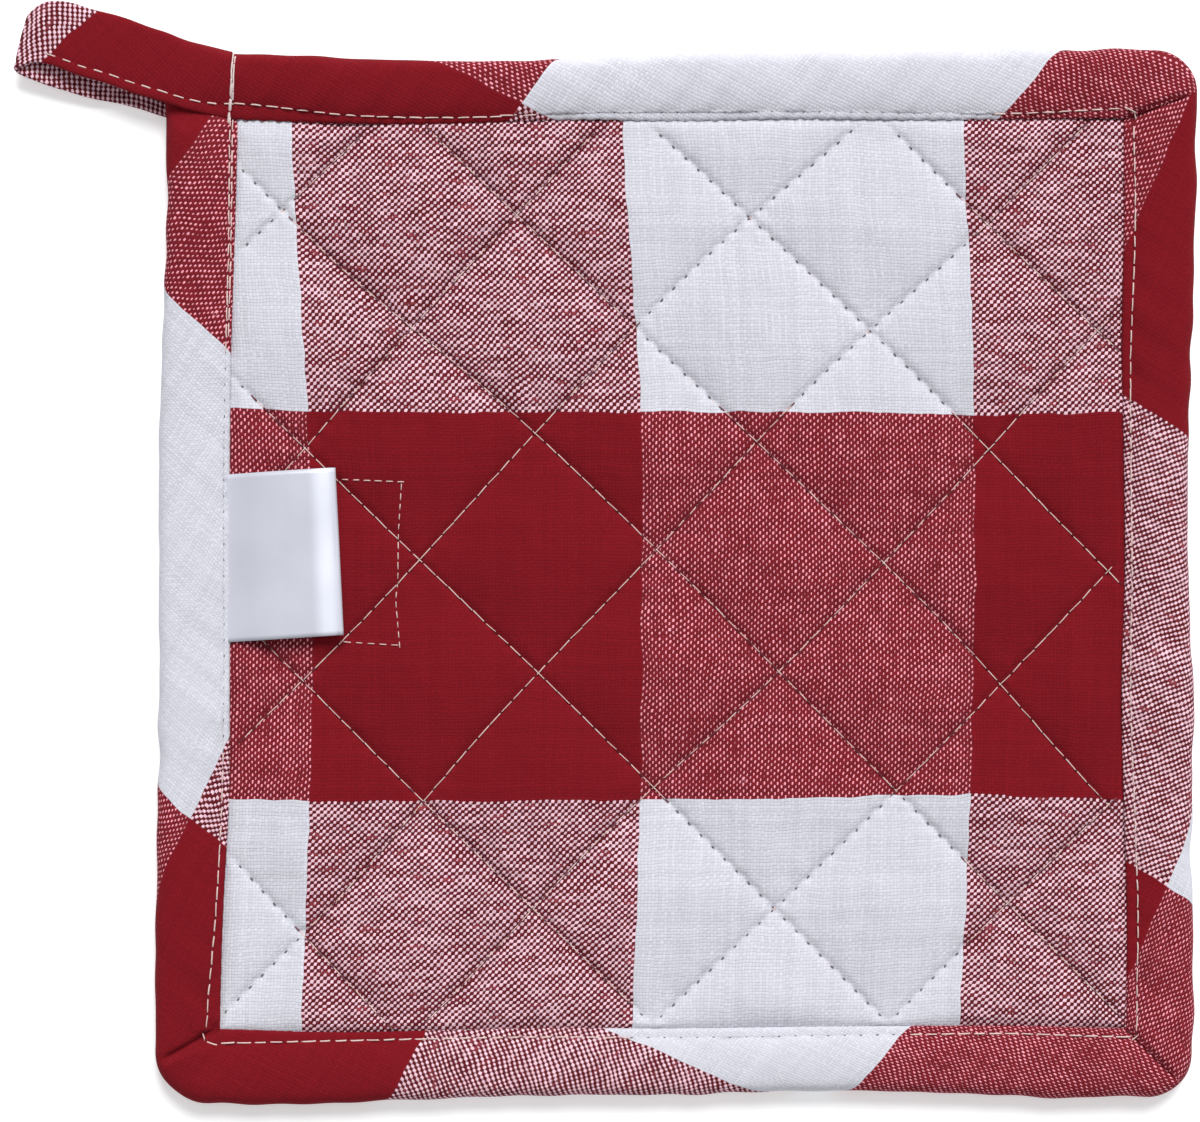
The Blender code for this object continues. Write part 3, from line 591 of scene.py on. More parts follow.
def map_panel(bm, backing):
    """Give every face corner its cloth coordinates; the backing's faces have those of another cut."""
    layer = bm.loops.layers.uv.new(CLOTH_UV)
    loops = [(loop, face in backing) for face in bm.faces for loop in face.loops]
    spots = np.array([loop.vert.co[:2] for loop, _ in loops])
    behind = np.array([is_backing for _, is_backing in loops])
    u, v = panel_check(spots[:, 0], spots[:, 1])
    u = u + behind * BACKING_SHIFT[0] * WARP_BAND
    v = v + behind * BACKING_SHIFT[1] * WEFT_BAND
    for (loop, _), loop_u, loop_v in zip(loops, u, v):
        loop[layer].uv = (loop_u, loop_v)


def build_panel(quilt, material):
    """A grid laid along the seams, cut to the quilt's outline and raised to a face and an underside."""
    flat = bpy.data.meshes.new("panel_grid")
    points, quads = panel_grid()
    flat.from_pydata(points, [], quads)
    bm = bmesh.new()
    bm.from_mesh(flat)
    bpy.data.meshes.remove(flat)
    sewn = bm.verts.layers.float.new(SEWN)
    cut_outline(bm)

    face_verts = bm.verts[:]
    rim = [edge for edge in bm.edges if len(edge.link_faces) == 1]
    copy = bmesh.ops.duplicate(bm, geom=bm.verts[:] + bm.edges[:] + bm.faces[:])
    under = copy["vert_map"]
    backing = [item for item in copy["geom"] if isinstance(item, bmesh.types.BMFace)]
    bmesh.ops.reverse_faces(bm, faces=backing)
    for edge in rim:
        a, b = edge.verts
        bm.faces.new((a, b, under[b], under[a]))
    plan = np.array([vert.co[:2] for vert in face_verts])
    low, high = quilt_heights(plan[:, 0], plan[:, 1], quilt)
    for vert, z_low, z_high, near in zip(face_verts, low, high, seam_nearness(plan[:, 0], plan[:, 1])):
        vert.co.z = z_high
        under[vert].co.z = z_low
        vert[sewn] = under[vert][sewn] = near
    bmesh.ops.recalc_face_normals(bm, faces=bm.faces)
    map_panel(bm, set(backing))
    for vert in bm.verts:
        vert.co = place(vert.co)
    mesh = bpy.data.meshes.new("panel_cloth")
    bm.to_mesh(mesh)
    bm.free()
    mesh.shade_smooth()
    return new_object("panel_cloth", mesh, material)


# ---------------------------------------------------------------- binding strip

def side_frame(index):
    """Unit vectors along a side in the strip's order, and outwards."""
    outward = Vector(SIDES[index][1])
    return Vector((-outward.y, outward.x)), outward


def lip_corner(index):
    """Corner of the lip at the start of a side."""
    before, after = SIDES[index - 1], SIDES[index]
    out_before, out_after = Vector(before[1]), Vector(after[1])
    return out_before * (before[3] - before[5][-1]) + out_after * (after[3] - after[5][0])


def side_station(index, place_along):
    """Outer point, lip point and topstitch distance at a place along a side, counted from its middle."""
    _, _, half, line, drift, lip_drift, stitch_out = SIDES[index]
    along, outward = side_frame(index)
    half_out = HALF_WIDTH if half == HALF_HEIGHT else HALF_HEIGHT
    share = (place_along + half) / (2 * half)
    out = half_out + float(smooth_between(drift, share * (len(drift) - 1)))
    outer = along * place_along + outward * out
    first = lip_corner(index).dot(along)
    last = lip_corner((index + 1) % 4).dot(along)
    lip_share = (place_along - first) / (last - first) * (len(lip_drift) - 1)
    lip = along * place_along + outward * (line - float(smooth_between(lip_drift, lip_share)))
    return outer, lip, float(smooth_between(stitch_out, lip_share))


def corner_fan(index):
    """Stations round the corner after a side: the outer edge is an arc, the lip turns almost sharp."""
    following = (index + 1) % 4
    along_a, out_a = side_frame(index)
    along_b, out_b = side_frame(following)
    lip = lip_corner(following)
    before = side_station(index, lip.dot(along_a))
    after = side_station(following, lip.dot(along_b))
    tip = out_a * before[0].dot(out_a) + out_b * after[0].dot(out_b)
    radius = CORNER_RADII[index]
    centre = tip - (out_a + out_b) * radius
    arc_start, arc_end = centre + out_a * radius, centre + out_b * radius
    lead_in, lead_out = (arc_start - before[0]).length, (after[0] - arc_end).length
    arc = radius * math.pi / 2
    whole = lead_in + arc + lead_out
    fold = MITRE_SHARES[index]
    stations = []
    for k in range(1, CORNER_STATIONS):
        spread = 2.0 * k / CORNER_STATIONS - 1.0
        turn = math.copysign(abs(spread) ** FOLD_GATHER, spread)
        travelled = whole * (fold * (1 + turn) if turn <= 0 else fold + (1 - fold) * turn)
        if travelled < lead_in:
            outer = before[0].lerp(arc_start, travelled / lead_in)
        elif travelled < lead_in + arc:
            angle = (travelled - lead_in) / radius
            outer = centre + (out_a * math.cos(angle) + out_b * math.sin(angle)) * radius
        else:
            outer = arc_end.lerp(after[0], (travelled - lead_in - arc) / lead_out)
        stitch_out = before[2] + (after[2] - before[2]) * k / CORNER_STATIONS
        stitch_out *= 1.0 + FOLD_STITCH_IN * (1.0 - abs(turn))
        stations.append((outer, lip, stitch_out, index if turn <= 0 else following, turn))
    return stations


def strip_stations():
    """All stations of the binding as (outer, lip, topstitch distance, side, turn)."""
    stations = []
    for index in range(len(SIDES)):
        along, _ = side_frame(index)
        first = lip_corner(index).dot(along) if index else -STRIP_START_Y
        last = lip_corner(index + 1).dot(along) if index < len(MITRE_SHARES) else -TACK_X
        count = round((last - first) / STATION_STEP)
        for k in range(count + 1):
            outer, lip, stitch_out = side_station(index, first + (last - first) * k / count)
            stations.append((outer, lip, stitch_out, index, NO_TURN))
        if index < len(MITRE_SHARES):
            stations += corner_fan(index)
    return stations


def fine_section():
    """The section's table read at SECTION_STEPS points for each row, as a closed turn."""
    count = len(SECTION) * SECTION_STEPS
    closed = SECTION[-2:] + SECTION + SECTION[:3]
    return smooth_between(closed, np.arange(count) / SECTION_STEPS + 2)


def way_in_share(reading, stitch_share):
    """Turn a way-in reading, 0 to 1 to 2, into a share of the width from outer edge to lip."""
    return np.where(reading < 1, reading * stitch_share, stitch_share + (reading - 1) * (1 - stitch_share))


def strip_position(side, x, y):
    """How far along the strip a point is, and how far in from the strip's middle line."""
    start = 0.0
    for k in range(side):
        start += MIDDLE_LINE[k - 1] + MIDDLE_LINE[(k + 1) % 4]
    along, outward = side_frame(side)
    way = x * along.x + y * along.y + MIDDLE_LINE[side - 1]
    return start + way, MIDDLE_LINE[side] - (x * outward.x + y * outward.y)


def strip_check(s, t):
    """Cloth coordinates on the bias strip from the place along it and the way in from its middle line."""
    s, t = np.asarray(s, float), np.asarray(t, float)
    warp = np.stack([at + lean * t for at, lean in STRIP_WARP])
    weft = np.stack([at + lean * t for at, lean in STRIP_WEFT])
    return stripe_count(warp, s, WARP_BAND), stripe_count(weft, s, WEFT_BAND)


def strip_uv(side_s, plan_t, heights):
    """Cloth coordinates round each section, following the cloth's own length over its outer edge."""
    count = plan_t.shape[1]
    half = INNER_ROW * SECTION_STEPS            # readings on the face side of the turn
    t = np.array(plan_t)
    for way, last in ((1, half), (-1, half - count)):
        extra = np.zeros(len(t))
        for k in range(way, last + way, way):
            run = plan_t[:, k] - plan_t[:, k - way]
            rise = heights[:, k] - heights[:, k - way]
            extra = extra + np.hypot(run, rise) - np.abs(run)
            if way > 0:
                t[:, k] = plan_t[:, k] + extra
            else:
                t[:, k] = 2 * plan_t[:, 0] - plan_t[:, k] - extra
    crest = CREST_ROW * SECTION_STEPS
    t[:, :half] -= (t[:, crest] - plan_t[:, crest])[:, None]
    t[:, half:] += (t[:, 0] - plan_t[:, 0])[:, None]
    return strip_check(side_s, t)


def loft_tube(name, rings, uv_rings, uv_next, material):
    """Closed tube through rings of points; uv_next holds a ring's coordinates for the face after it."""
    rings = np.asarray(rings)
    rows, count = rings.shape[:2]
    number = np.arange(rows * count).reshape(rows, count)
    nearby = np.roll(number, -1, 1)
    faces = np.stack([number[:-1], nearby[:-1], nearby[1:], number[1:]], -1).reshape(-1, 4)
    start = np.stack(uv_next, -1)[:-1]
    end = np.stack(uv_rings, -1)[1:]
    corners = np.stack([start, np.roll(start, -1, 1), np.roll(end, -1, 1), end], 2)
    caps = [number[0].tolist(), number[-1][::-1].tolist()]
    cap_uv = [np.stack(uv_next, -1)[0], np.stack(uv_rings, -1)[-1][::-1]]
    mesh = mesh_of(name, rings.reshape(-1, 3), faces.tolist() + caps,
                   np.concatenate([corners.reshape(-1, 2), *cap_uv]))
    outward_faces(mesh)
    return new_object(name, mesh, material)


def face_share(section):
    """1 on the face of the section and 0 below it, with a short change at the outer edge."""
    on_face = np.arange(len(section)) <= (LIP_ROW + 1) * SECTION_STEPS
    return on_face * smooth_step(*FACE_FROM, section[:, 1])


def sewn_relief(section, travelled, beat, binding):
    """Heights that sewing adds to the strip's face: slanting folds, a swell, the groove and a wavy lip."""
    reading, face = section[:, 0], face_share(section)
    to_stitch = (1.0 - reading) * STITCH_WAY_IN
    crown = face * smooth_step(0.0, 0.3, reading) * (reading < 1.0)
    fading = crown * np.exp(-np.abs(to_stitch) / FOLD_REACH)
    folds = waves("slanting_folds", travelled[:, None] + to_stitch[None] * FOLD_LEAN) * fading[None]
    swell = waves("binding_swell", travelled)[:, None] * (face * smooth_step(0.0, 0.4, reading))[None]
    groove = GROOVE_DEPTH * beat[:, None] * (face * np.exp(-(to_stitch / GROOVE_HALF) ** 2))[None]
    rim = (waves("lip_height", travelled) - LIP_DIP * beat)[:, None] * (face * (reading > 1.0))[None]
    return binding.pucker / MM * folds + swell - groove + rim


def mitre_relief(plan, start, way, length, binding):
    """Heights of a mitre from lip to outer edge: a valley, with the later side over the earlier one."""
    offset = plan - start
    across = offset[..., 0] * way[1] - offset[..., 1] * way[0]
    along = offset @ way
    ends = (share * length for share in MITRE_SPAN)
    fade = smooth_step(-1.0, 1.2, along) * (1.0 - smooth_step(*ends, along))
    valley = binding.mitre / MM * np.exp(-(across / MITRE_HALF) ** 2)
    over = MITRE_OVER[0] * np.exp(-np.maximum(-across, 0.0) / MITRE_OVER[1]) * (across < MITRE_LAP)
    roll = MITRE_UNDER[0] * np.exp(-np.maximum(across, 0.0) / MITRE_UNDER[1]) * (across > 0)
    return (over - roll - valley) * fade


def binding_shape(binding):
    """Rings of the binding, and the side that each belongs to."""
    outer, lip, stitch_out, side, turn = zip(*strip_stations())
    outer, lip = (np.array([tuple(point) for point in line]) for line in (outer, lip))
    side, turn = np.array(side), np.array(turn)
    width = np.linalg.norm(lip - outer, axis=1)
    run, travelled = length_along(outer), length_along((outer + lip) / 2)
    beat = needle_beat(travelled, EDGE_STITCH)
    section = fine_section()
    share = way_in_share(section[None, :, 0], (1.0 - np.array(stitch_out) / width)[:, None])

    outwards = (outer - lip) / width[:, None]
    outer = outer + outwards * waves("outer_edge", run)[:, None]
    scallop = np.array(LIP_SCALLOPS)[side] * (turn == NO_TURN)
    lip = lip + outwards * (scallop * beat)[:, None]
    plan = outer[:, None] * (1 - share[..., None]) + lip[:, None] * share[..., None]
    height = section[None, :, 1] + sewn_relief(section, travelled, beat, binding)
    for index in range(len(MITRE_SHARES)):
        to_corner = np.abs(run - run[side == index].max())
        fan = np.flatnonzero((turn != NO_TURN) & (to_corner < MITRE_REACH))
        fold = fan[np.abs(turn[fan]).argmin()]
        nearby = slice(max(fan[0] - MITRE_MARGIN, 0), fan[-1] + MITRE_MARGIN)
        way = unit(outer[fold] - lip[fold])
        relief = mitre_relief(plan[nearby], lip[fold], way, width[fold], binding)
        height[nearby] += relief * face_share(section)[None]

    # Under the loop the strip is pressed flat, and its corner is rounded.
    first_y = np.where(side == 0, outer[:, 1], -HALF_HEIGHT)
    height = height * (1.0 - PRESSED * smooth_step(PRESSED_FROM, PRESSED_TO, first_y))[:, None]
    past = (first_y - ROUNDED_FROM).clip(0)
    inset = ROUNDED_RADIUS - np.sqrt(np.maximum(ROUNDED_RADIUS ** 2 - past ** 2, 0))
    plan[..., 0] += inset[:, None] * (1.0 - share)
    return np.concatenate([plan, np.maximum(height, 0.0)[..., None]], -1), side


def binding_uv(rings, side):
    """Cloth coordinates of each ring for the faces before it and after it, which differ at a mitre."""
    before, after = [], []
    for index in range(4):
        s, t = strip_position(index, rings[..., 0], rings[..., 1])
        uv = list(strip_uv(s, t, rings[..., 2]))
        if index == 3:
            uv[0] = RED_END + np.hypot(uv[0] - RED_END, RED_END_LEFT)
        if index == 0:
            before, after = [np.array(values) for values in uv], [np.array(values) for values in uv]
            continue
        later = side >= index
        fold = np.flatnonzero(later)[0] - 1
        for k in (0, 1):
            before[k][later] = uv[k][later]
            after[k][later] = uv[k][later]
            after[k][fold] = uv[k][fold]
    return before, after


def section_line(rings, row=STITCH_ROW):
    """What the rings hold along one row of the section, by default where the topstitching lies."""
    return rings[:, row * SECTION_STEPS]


# ---------------------------------------------------------------- hanging loop

def loop_shape():
    """Rings of the tape from the bar tack round the tip and back, with places along and across it."""
    count = (len(LOOP_ROWS) - 1) * LOOP_STEPS
    position = np.arange(count + 1) / LOOP_STEPS
    rows = smooth_between(LOOP_ROWS, position)
    upper, lower = rows[:, 0:2], rows[:, 2:4]
    height, thickness, bound = rows[:, 4], rows[:, 5], np.clip(rows[:, 6], 0.0, 1.0)
    middle = np.concatenate([(upper + lower) / 2, height[:, None]], 1)
    across = np.concatenate([upper - lower, np.zeros((count + 1, 1))], 1)
    width = np.linalg.norm(across, axis=1)
    across = unit(across)
    normal = unit(np.cross(across, unit(np.gradient(middle, axis=0))))
    travelled = length_along(middle)

    section = fine_section()
    stitch_share = 1.0 - smooth_between(LOOP_STITCH_OUT, position) / width
    tape_share = way_in_share(section[None, :, 2], stitch_share[:, None])
    bound_share = way_in_share(section[None, :, 0], stitch_share[:, None])
    level = section[None, :, 3] * thickness[:, None] / 2
    level = level + waves("tape_height", travelled)[:, None] * (np.abs(section[None, :, 3]) > 0.3)
    near = np.exp(-((section[:, 2] - 1.0) / TAPE_GROOVE_HALF) ** 2) * (section[:, 3] > 0)
    level = level - TAPE_GROOVE * needle_beat(travelled, LOOP_STITCH)[:, None] * near[None]
    side_move = (0.5 - tape_share) * width[:, None] + waves("tape_side", travelled)[:, None]
    tape = middle[:, None] + across[:, None] * side_move[..., None] + normal[:, None] * level[..., None]

    bound_points = (upper[:, None] * (1 - bound_share[..., None]) + lower[:, None] * bound_share[..., None])
    bound_heights = np.repeat(section[None, :, 1], count + 1, 0)
    bound_rings = np.concatenate([bound_points, bound_heights[..., None]], -1)
    rings = tape + (bound_rings - tape) * bound[:, None, None]
    rings[..., 2] = np.maximum(rings[..., 2], 0.0)
    start_s = strip_position(3, np.array(TACK_X), np.array(HALF_HEIGHT))[0]
    s = np.broadcast_to(start_s + travelled[:, None], side_move.shape)
    return rings, s, -side_move


# ---------------------------------------------------------------- label

def label_edges(share):
    """Top and bottom edge of the ribbon at a share of its length from lip to fold."""
    top = Vector(LABEL_CORNERS["lip_top"]).lerp(Vector(LABEL_CORNERS["fold_top"]), share)
    bottom = Vector(LABEL_CORNERS["lip_bottom"]).lerp(Vector(LABEL_CORNERS["fold_bottom"]), share)
    return top, bottom


def label_bed(share, quilt):
    """Height of the ribbon's lower ply: just above the highest quilt under that part of it."""
    top, bottom = label_edges(share)
    across = np.linspace(-0.03, 1.03, 32)
    x = top.x + (bottom.x - top.x) * across
    y = top.y + (bottom.y - top.y) * across
    return float(quilt_heights(x, y, quilt)[1].max()) + PLY_CLEAR


def label_rows(quilt, gap):
    """Rows of the ribbon from lip to fold and back: share of its length, height, and way past the fold."""
    shares = np.linspace(0.0, 1.0, PLY_STEPS)
    beds = np.array([label_bed(share, quilt) for share in shares])
    grip = 1.0 - smooth_step(0.02, 0.3, shares)         # near the lip the binding holds the ribbon level
    gripped = LABEL_LIP_HEIGHT + (beds - LABEL_LIP_HEIGHT) * 0.15
    beds = beds * (1 - grip) + gripped * grip
    radius = gap / 2
    rows = [(share, bed, 0.0) for share, bed in zip(shares, beds)]
    for k in range(1, FOLD_STEPS):
        angle = math.pi * k / FOLD_STEPS
        rows.append((1.0, beds[-1] + radius * (1 - math.cos(angle)), radius * math.sin(angle)))
    for share, bed in reversed(list(zip(shares, beds))):
        opening = gap * (0.25 + 0.75 * smooth_step(0.0, 0.5, share))
        swell = opening + UPPER_PLY_SWELL * math.sin(math.pi * share) ** 2
        rows.append((share, bed + swell, 0.0))
    return rows


def build_label(label, quilt, material):
    """One sheet of ribbon: lower ply from the lip, half turn at the fold, upper ply back to the lip."""
    rows = label_rows(quilt, label.ply_gap / MM)
    points, uv = [], []
    travelled, previous = 0.0, None
    for share, height, reach in rows:
        top, bottom = label_edges(share)
        middle = ((top.x + bottom.x) / 2 + reach, height)
        if previous:
            travelled += math.dist(previous, middle)
        previous = middle
        for j in range(RIBBON_STEPS + 1):
            part = j / RIBBON_STEPS
            spot = top.lerp(bottom, part)
            edge = abs(part - 0.5) * 2
            lift = float(waves("ribbon", spot.x, spot.y)) * share - SELVEDGE_DROP * edge ** 4 * share
            points.append((spot.x + reach, spot.y, height + lift * (0.5 if reach else 1.0)))
            uv.append((part * LABEL_CUT[0], travelled))
    stride = RIBBON_STEPS + 1
    faces = [[r * stride + c, r * stride + c + 1, (r + 1) * stride + c + 1, (r + 1) * stride + c]
             for r in range(len(rows) - 1) for c in range(RIBBON_STEPS)]
    corner_uv = [uv[v] for face in faces for v in face]
    mesh = mesh_of("label_ribbon", points, faces, corner_uv)
    obj = new_object("label_ribbon", mesh, material)
    solid = obj.modifiers.new("ribbon thickness", "SOLIDIFY")
    solid.thickness = label.thickness
    solid.offset = 0.0
    return obj


# ---------------------------------------------------------------- stitches

STITCH_SOCKETS = (
    ("Rows", "NodeSocketGeometry", None), ("Pitch", "NodeSocketFloat", 0.003),
    ("Length", "NodeSocketFloat", 0.002), ("Thread Radius", "NodeSocketFloat", 0.00015),
    ("Arch", "NodeSocketFloat", 0.0002), ("Sink", "NodeSocketFloat", 0.0002),
    ("Wander", "NodeSocketFloat", 0.05), ("Seed", "NodeSocketInt", 1),
    ("Segments", "NodeSocketInt", 6), ("Material", "NodeSocketMaterial", None),
)
LEAST_STITCH, MOST_STITCH = (0.78, 0.8, 0.8), (1.08, 1.15, 1.1)     # a stitch's scale: length, width, height
ARCH_SHARE = 0.22               # how far from its middle a stitch's arch is held up, by its length


def stitch_tree():
    """Lays an arched length of thread along each row at every pitch, turned and sized a little unevenly."""
    known = bpy.data.node_groups.get("stitch_rows")
    if known:
        return known
    tree = bpy.data.node_groups.new("stitch_rows", "GeometryNodeTree")
    for name, kind, default in STITCH_SOCKETS:
        socket = tree.interface.new_socket(name, in_out="INPUT", socket_type=kind)
        if default is not None:
            socket.default_value = default
    tree.interface.new_socket("Stitches", in_out="OUTPUT", socket_type="NodeSocketGeometry")
    given = node(tree, "NodeGroupInput").outputs
    half = math_node(tree, "MULTIPLY", given["Length"], 0.5)
    back = math_node(tree, "MULTIPLY", given["Length"], -0.5)
    down = math_node(tree, "MULTIPLY", given["Sink"], -1.0)
    inner = math_node(tree, "MULTIPLY", given["Length"], ARCH_SHARE)
    inner_back = math_node(tree, "MULTIPLY", given["Length"], -ARCH_SHARE)
    start = node(tree, "ShaderNodeCombineXYZ", (back, 0.0, down))
    end = node(tree, "ShaderNodeCombineXYZ", (half, 0.0, down))
    start_handle = node(tree, "ShaderNodeCombineXYZ", (inner_back, 0.0, given["Arch"]))
    end_handle = node(tree, "ShaderNodeCombineXYZ", (inner, 0.0, given["Arch"]))
    arc = node(tree, "GeometryNodeCurvePrimitiveBezierSegment",
               {"Resolution": given["Segments"], "Start": start, "Start Handle": start_handle,
                "End Handle": end_handle, "End": end})
    ring = node(tree, "GeometryNodeCurvePrimitiveCircle",
                {"Resolution": 6, "Radius": given["Thread Radius"]})
    thread = node(tree, "GeometryNodeCurveToMesh", {"Curve": arc, "Profile Curve": ring, "Fill Caps": True})

    curve = node(tree, "GeometryNodeMeshToCurve", {"Mesh": given["Rows"]})
    spaced = node(tree, "GeometryNodeResampleCurve", {"Curve": curve, "Length": given["Pitch"]},
                  mode="LENGTH")
    tangent = node(tree, "GeometryNodeInputTangent")
    least = math_node(tree, "MULTIPLY", given["Wander"], -1.0)
    low = node(tree, "ShaderNodeCombineXYZ", (least, least, 0.0))
    high = node(tree, "ShaderNodeCombineXYZ", (given["Wander"], given["Wander"], 0.0))
    sway = node(tree, "FunctionNodeRandomValue", {0: low, 1: high, "Seed": given["Seed"]},
                data_type="FLOAT_VECTOR")
    heading = vector_node(tree, "ADD", tangent, sway)
    turn = node(tree, "FunctionNodeAxesToRotation", (heading, (0.0, 0.0, 1.0)), primary_axis="X",
                secondary_axis="Z")
    size = node(tree, "FunctionNodeRandomValue",
                {0: LEAST_STITCH, 1: MOST_STITCH, "Seed": given["Seed"]}, data_type="FLOAT_VECTOR")
    laid = node(tree, "GeometryNodeInstanceOnPoints",
                {"Points": spaced, "Instance": thread, "Rotation": turn, "Scale": size})
    real = node(tree, "GeometryNodeRealizeInstances", {"Geometry": laid})
    painted = node(tree, "GeometryNodeSetMaterial", {"Geometry": real, "Material": given["Material"]})
    node(tree, "NodeGroupOutput", {"Stitches": painted})
    return tree


def sew(name, rows, material, **sizes):
    """Run the stitch tree along rows of points and keep its result as a plain mesh."""
    points, edges = [], []
    for row in rows:
        first = len(points)
        points += [tuple(point) for point in row]
        edges += [(first + k, first + k + 1) for k in range(len(row) - 1)]
    mesh = bpy.data.meshes.new(name)
    mesh.from_pydata(place(points).tolist(), edges, [])
    obj = new_object(name, mesh, None)
    tree = stitch_tree()
    modifier = obj.modifiers.new("stitch rows", "NODES")
    modifier.node_group = tree
    chosen = {"Material": material, **sizes}
    for item in tree.interface.items_tree:
        if item.in_out == "INPUT" and item.name in chosen:
            modifier[item.identifier] = chosen[item.name]
    depsgraph = bpy.context.evaluated_depsgraph_get()
    result = bpy.data.meshes.new_from_object(obj.evaluated_get(depsgraph), depsgraph=depsgraph)
    obj.modifiers.clear()
    obj.data = result
    bpy.data.meshes.remove(mesh)
    result.name = name
    result.shade_smooth()
    finish_piece(obj)


def seam_rows(quilt, below=False):
    """Points along every quilting seam inside the lip, on the face or on the underside."""
    step = QUILT_STITCH / STITCH_POINTS
    station = np.arange(-40 * STITCH_POINTS, 40 * STITCH_POINTS) * step
    rows = []
    for seams, is_falling in ((FALLING_SEAMS, True), (RISING_SEAMS, False)):
        for seam in seams:
            offset = seam_offset(seam, station)
            x, y = from_diagonal(offset, station) if is_falling else from_diagonal(station, offset)
            inside = np.flatnonzero(inside_lip(x, y) > 0.2)
            if len(inside) <= 2 * STITCH_POINTS:
                continue
            first = -(-inside[0] // STITCH_POINTS) * STITCH_POINTS
            x, y = x[first:inside[-1]], y[first:inside[-1]]
            low, high = quilt_heights(x, y, quilt)
            rows.append(np.stack([x, y, low if below else high], -1))
    return rows


def yarns_are(kind, u, v):
    """Whether cloth coordinates have white yarns only, a white weft or warp on red, or red yarns only."""
    white_warp = np.floor(u / WARP_BAND) % 2 == 1
    white_weft = np.floor(v / WEFT_BAND) % 2 == 1
    return {"white": white_warp & white_weft, "white_weft": white_weft & ~white_warp,
            "white_warp": white_warp & ~white_weft, "red": ~(white_warp | white_weft)}[kind]


def whole_stitches(row, chosen):
    """The stretches of a row where a condition holds, each cut to whole stitches of the row."""
    parts, start = [], None
    for k in range(0, len(row), STITCH_POINTS):
        if chosen[k] and start is None:
            start = k
        ended = not chosen[k] or k + STITCH_POINTS >= len(row)
        if ended and start is not None:
            if k > start:
                parts.append(row[start:k + 1])
            start = None
    return parts


def over_cloth(row, lift):
    """Middles of a row's stitches, each as high as the cloth rises between its two needle holes."""
    half = STITCH_POINTS // 2
    row = row[half:len(row) - half].copy() if len(row) > 2 * STITCH_POINTS else row.copy()
    height = np.pad(row[:, 2], half, mode="edge")
    row[:, 2] = np.lib.stride_tricks.sliding_window_view(height, 2 * half + 1).max(1) + lift
    return row


def paced(points, step):
    """A polyline through the points, with a point at every step of its length."""
    points = np.asarray(points, float)
    run = length_along(points)
    at = np.arange(int(run[-1] / step) + 1) * step
    return np.stack([np.interp(at, run, points[:, k]) for k in range(points.shape[1])], -1)


def row_sizes(thread, pitch, length, arch, sink, radius=None):
    """Sockets of the stitch tree for one kind of row, from sizes in mm."""
    radius = thread.radius / MM if radius is None else radius
    sizes = {"Pitch": pitch, "Length": length, "Arch": arch, "Sink": sink, "Thread Radius": radius}
    return {"Seed": thread.seed, **{name: value * MM for name, value in sizes.items()}}


def edge_line(rings, side):
    """The face's topstitching from below the loop round to the bar tack, with its cloth coordinates."""
    before, _ = binding_uv(rings, side)
    line = np.column_stack([section_line(rings), section_line(before[0]), section_line(before[1])])
    line = paced(line, EDGE_STITCH / STITCH_POINTS)
    first = int((line[:, 1] < EDGE_STITCHES_FROM).argmax()) // STITCH_POINTS * STITCH_POINTS
    return line[first:]


def sew_face(quilt, thread, line, ecru):
    """Quilting and topstitching of the face: a dark mark of painted shade at each needle hole, and the
    thread between holes.
    """
    seams = seam_rows(quilt)
    quilt_threads, edge_threads = [], []
    for kind, lift, length, radius, shade in SEAM_LOOKS:
        # Each needle hole gets a small dark mark: painted shade of the hole and of the seam's crease.
        hole_shade = spun_thread("needle_hole_shade_in_" + kind, linear(shade), 1.0)
        on_panel = [part for row in seams for part in
                    whole_stitches(row, yarns_are(kind, *panel_check(row[:, 0], row[:, 1])))]
        on_strip = [part[:, :3] for part in whole_stitches(line, yarns_are(kind, line[:, 3], line[:, 4]))]
        hole_shade_sizes = row_sizes(thread, QUILT_STITCH, length, 0.0, HOLE_SINK, radius)
        sew("quilting_hole_shade_" + kind, on_panel, hole_shade, **hole_shade_sizes)
        sew("edge_hole_shade_" + kind, on_strip, hole_shade, **row_sizes(thread, *STITCHES["edge_hole_shade"]))
        quilt_threads += [over_cloth(part, lift) for part in on_panel]
        edge_lift = 1.5 * lift if kind == "white" else THREAD_LIFT
        edge_threads += [over_cloth(part, edge_lift) for part in on_strip]
    doubled = line[STITCH_POINTS // 2:int((line[:, 1] < DOUBLED_DOWN_TO).argmax()), :3]
    edge_threads.append(over_cloth(doubled + DOUBLED_BESIDE, THREAD_LIFT))
    sew("quilting_stitches", quilt_threads, ecru, **row_sizes(thread, *STITCHES["quilting"]))
    sew("edge_stitches", edge_threads, ecru, **row_sizes(thread, *STITCHES["edge"]))


def sew_underside(quilt, thread, rings, ecru):
    """Quilting and topstitching as they come out below."""
    sew("quilting_stitches_below", seam_rows(quilt, below=True), ecru,
        **row_sizes(thread, *STITCHES["quilting_below"]))
    under = paced(section_line(rings, BACK_STITCH_ROW), EDGE_STITCH / STITCH_POINTS)
    sew("edge_stitches_below", [under], ecru, **row_sizes(thread, *STITCHES["edge_below"]))


def sew_label_box(quilt, thread, ecru):
    """The three sewn sides of the box beside the label."""
    rows = []
    for part in BOX_STITCH:
        plan = paced(part, BOX_PITCH / STITCH_POINTS)[STITCH_POINTS // 2:]
        face = quilt_heights(plan[:, 0], plan[:, 1], quilt)[1]
        rows.append(np.column_stack([plan, face + THREAD_LIFT]))
    sew("box_stitches", rows, ecru, **row_sizes(thread, *STITCHES["box"]))


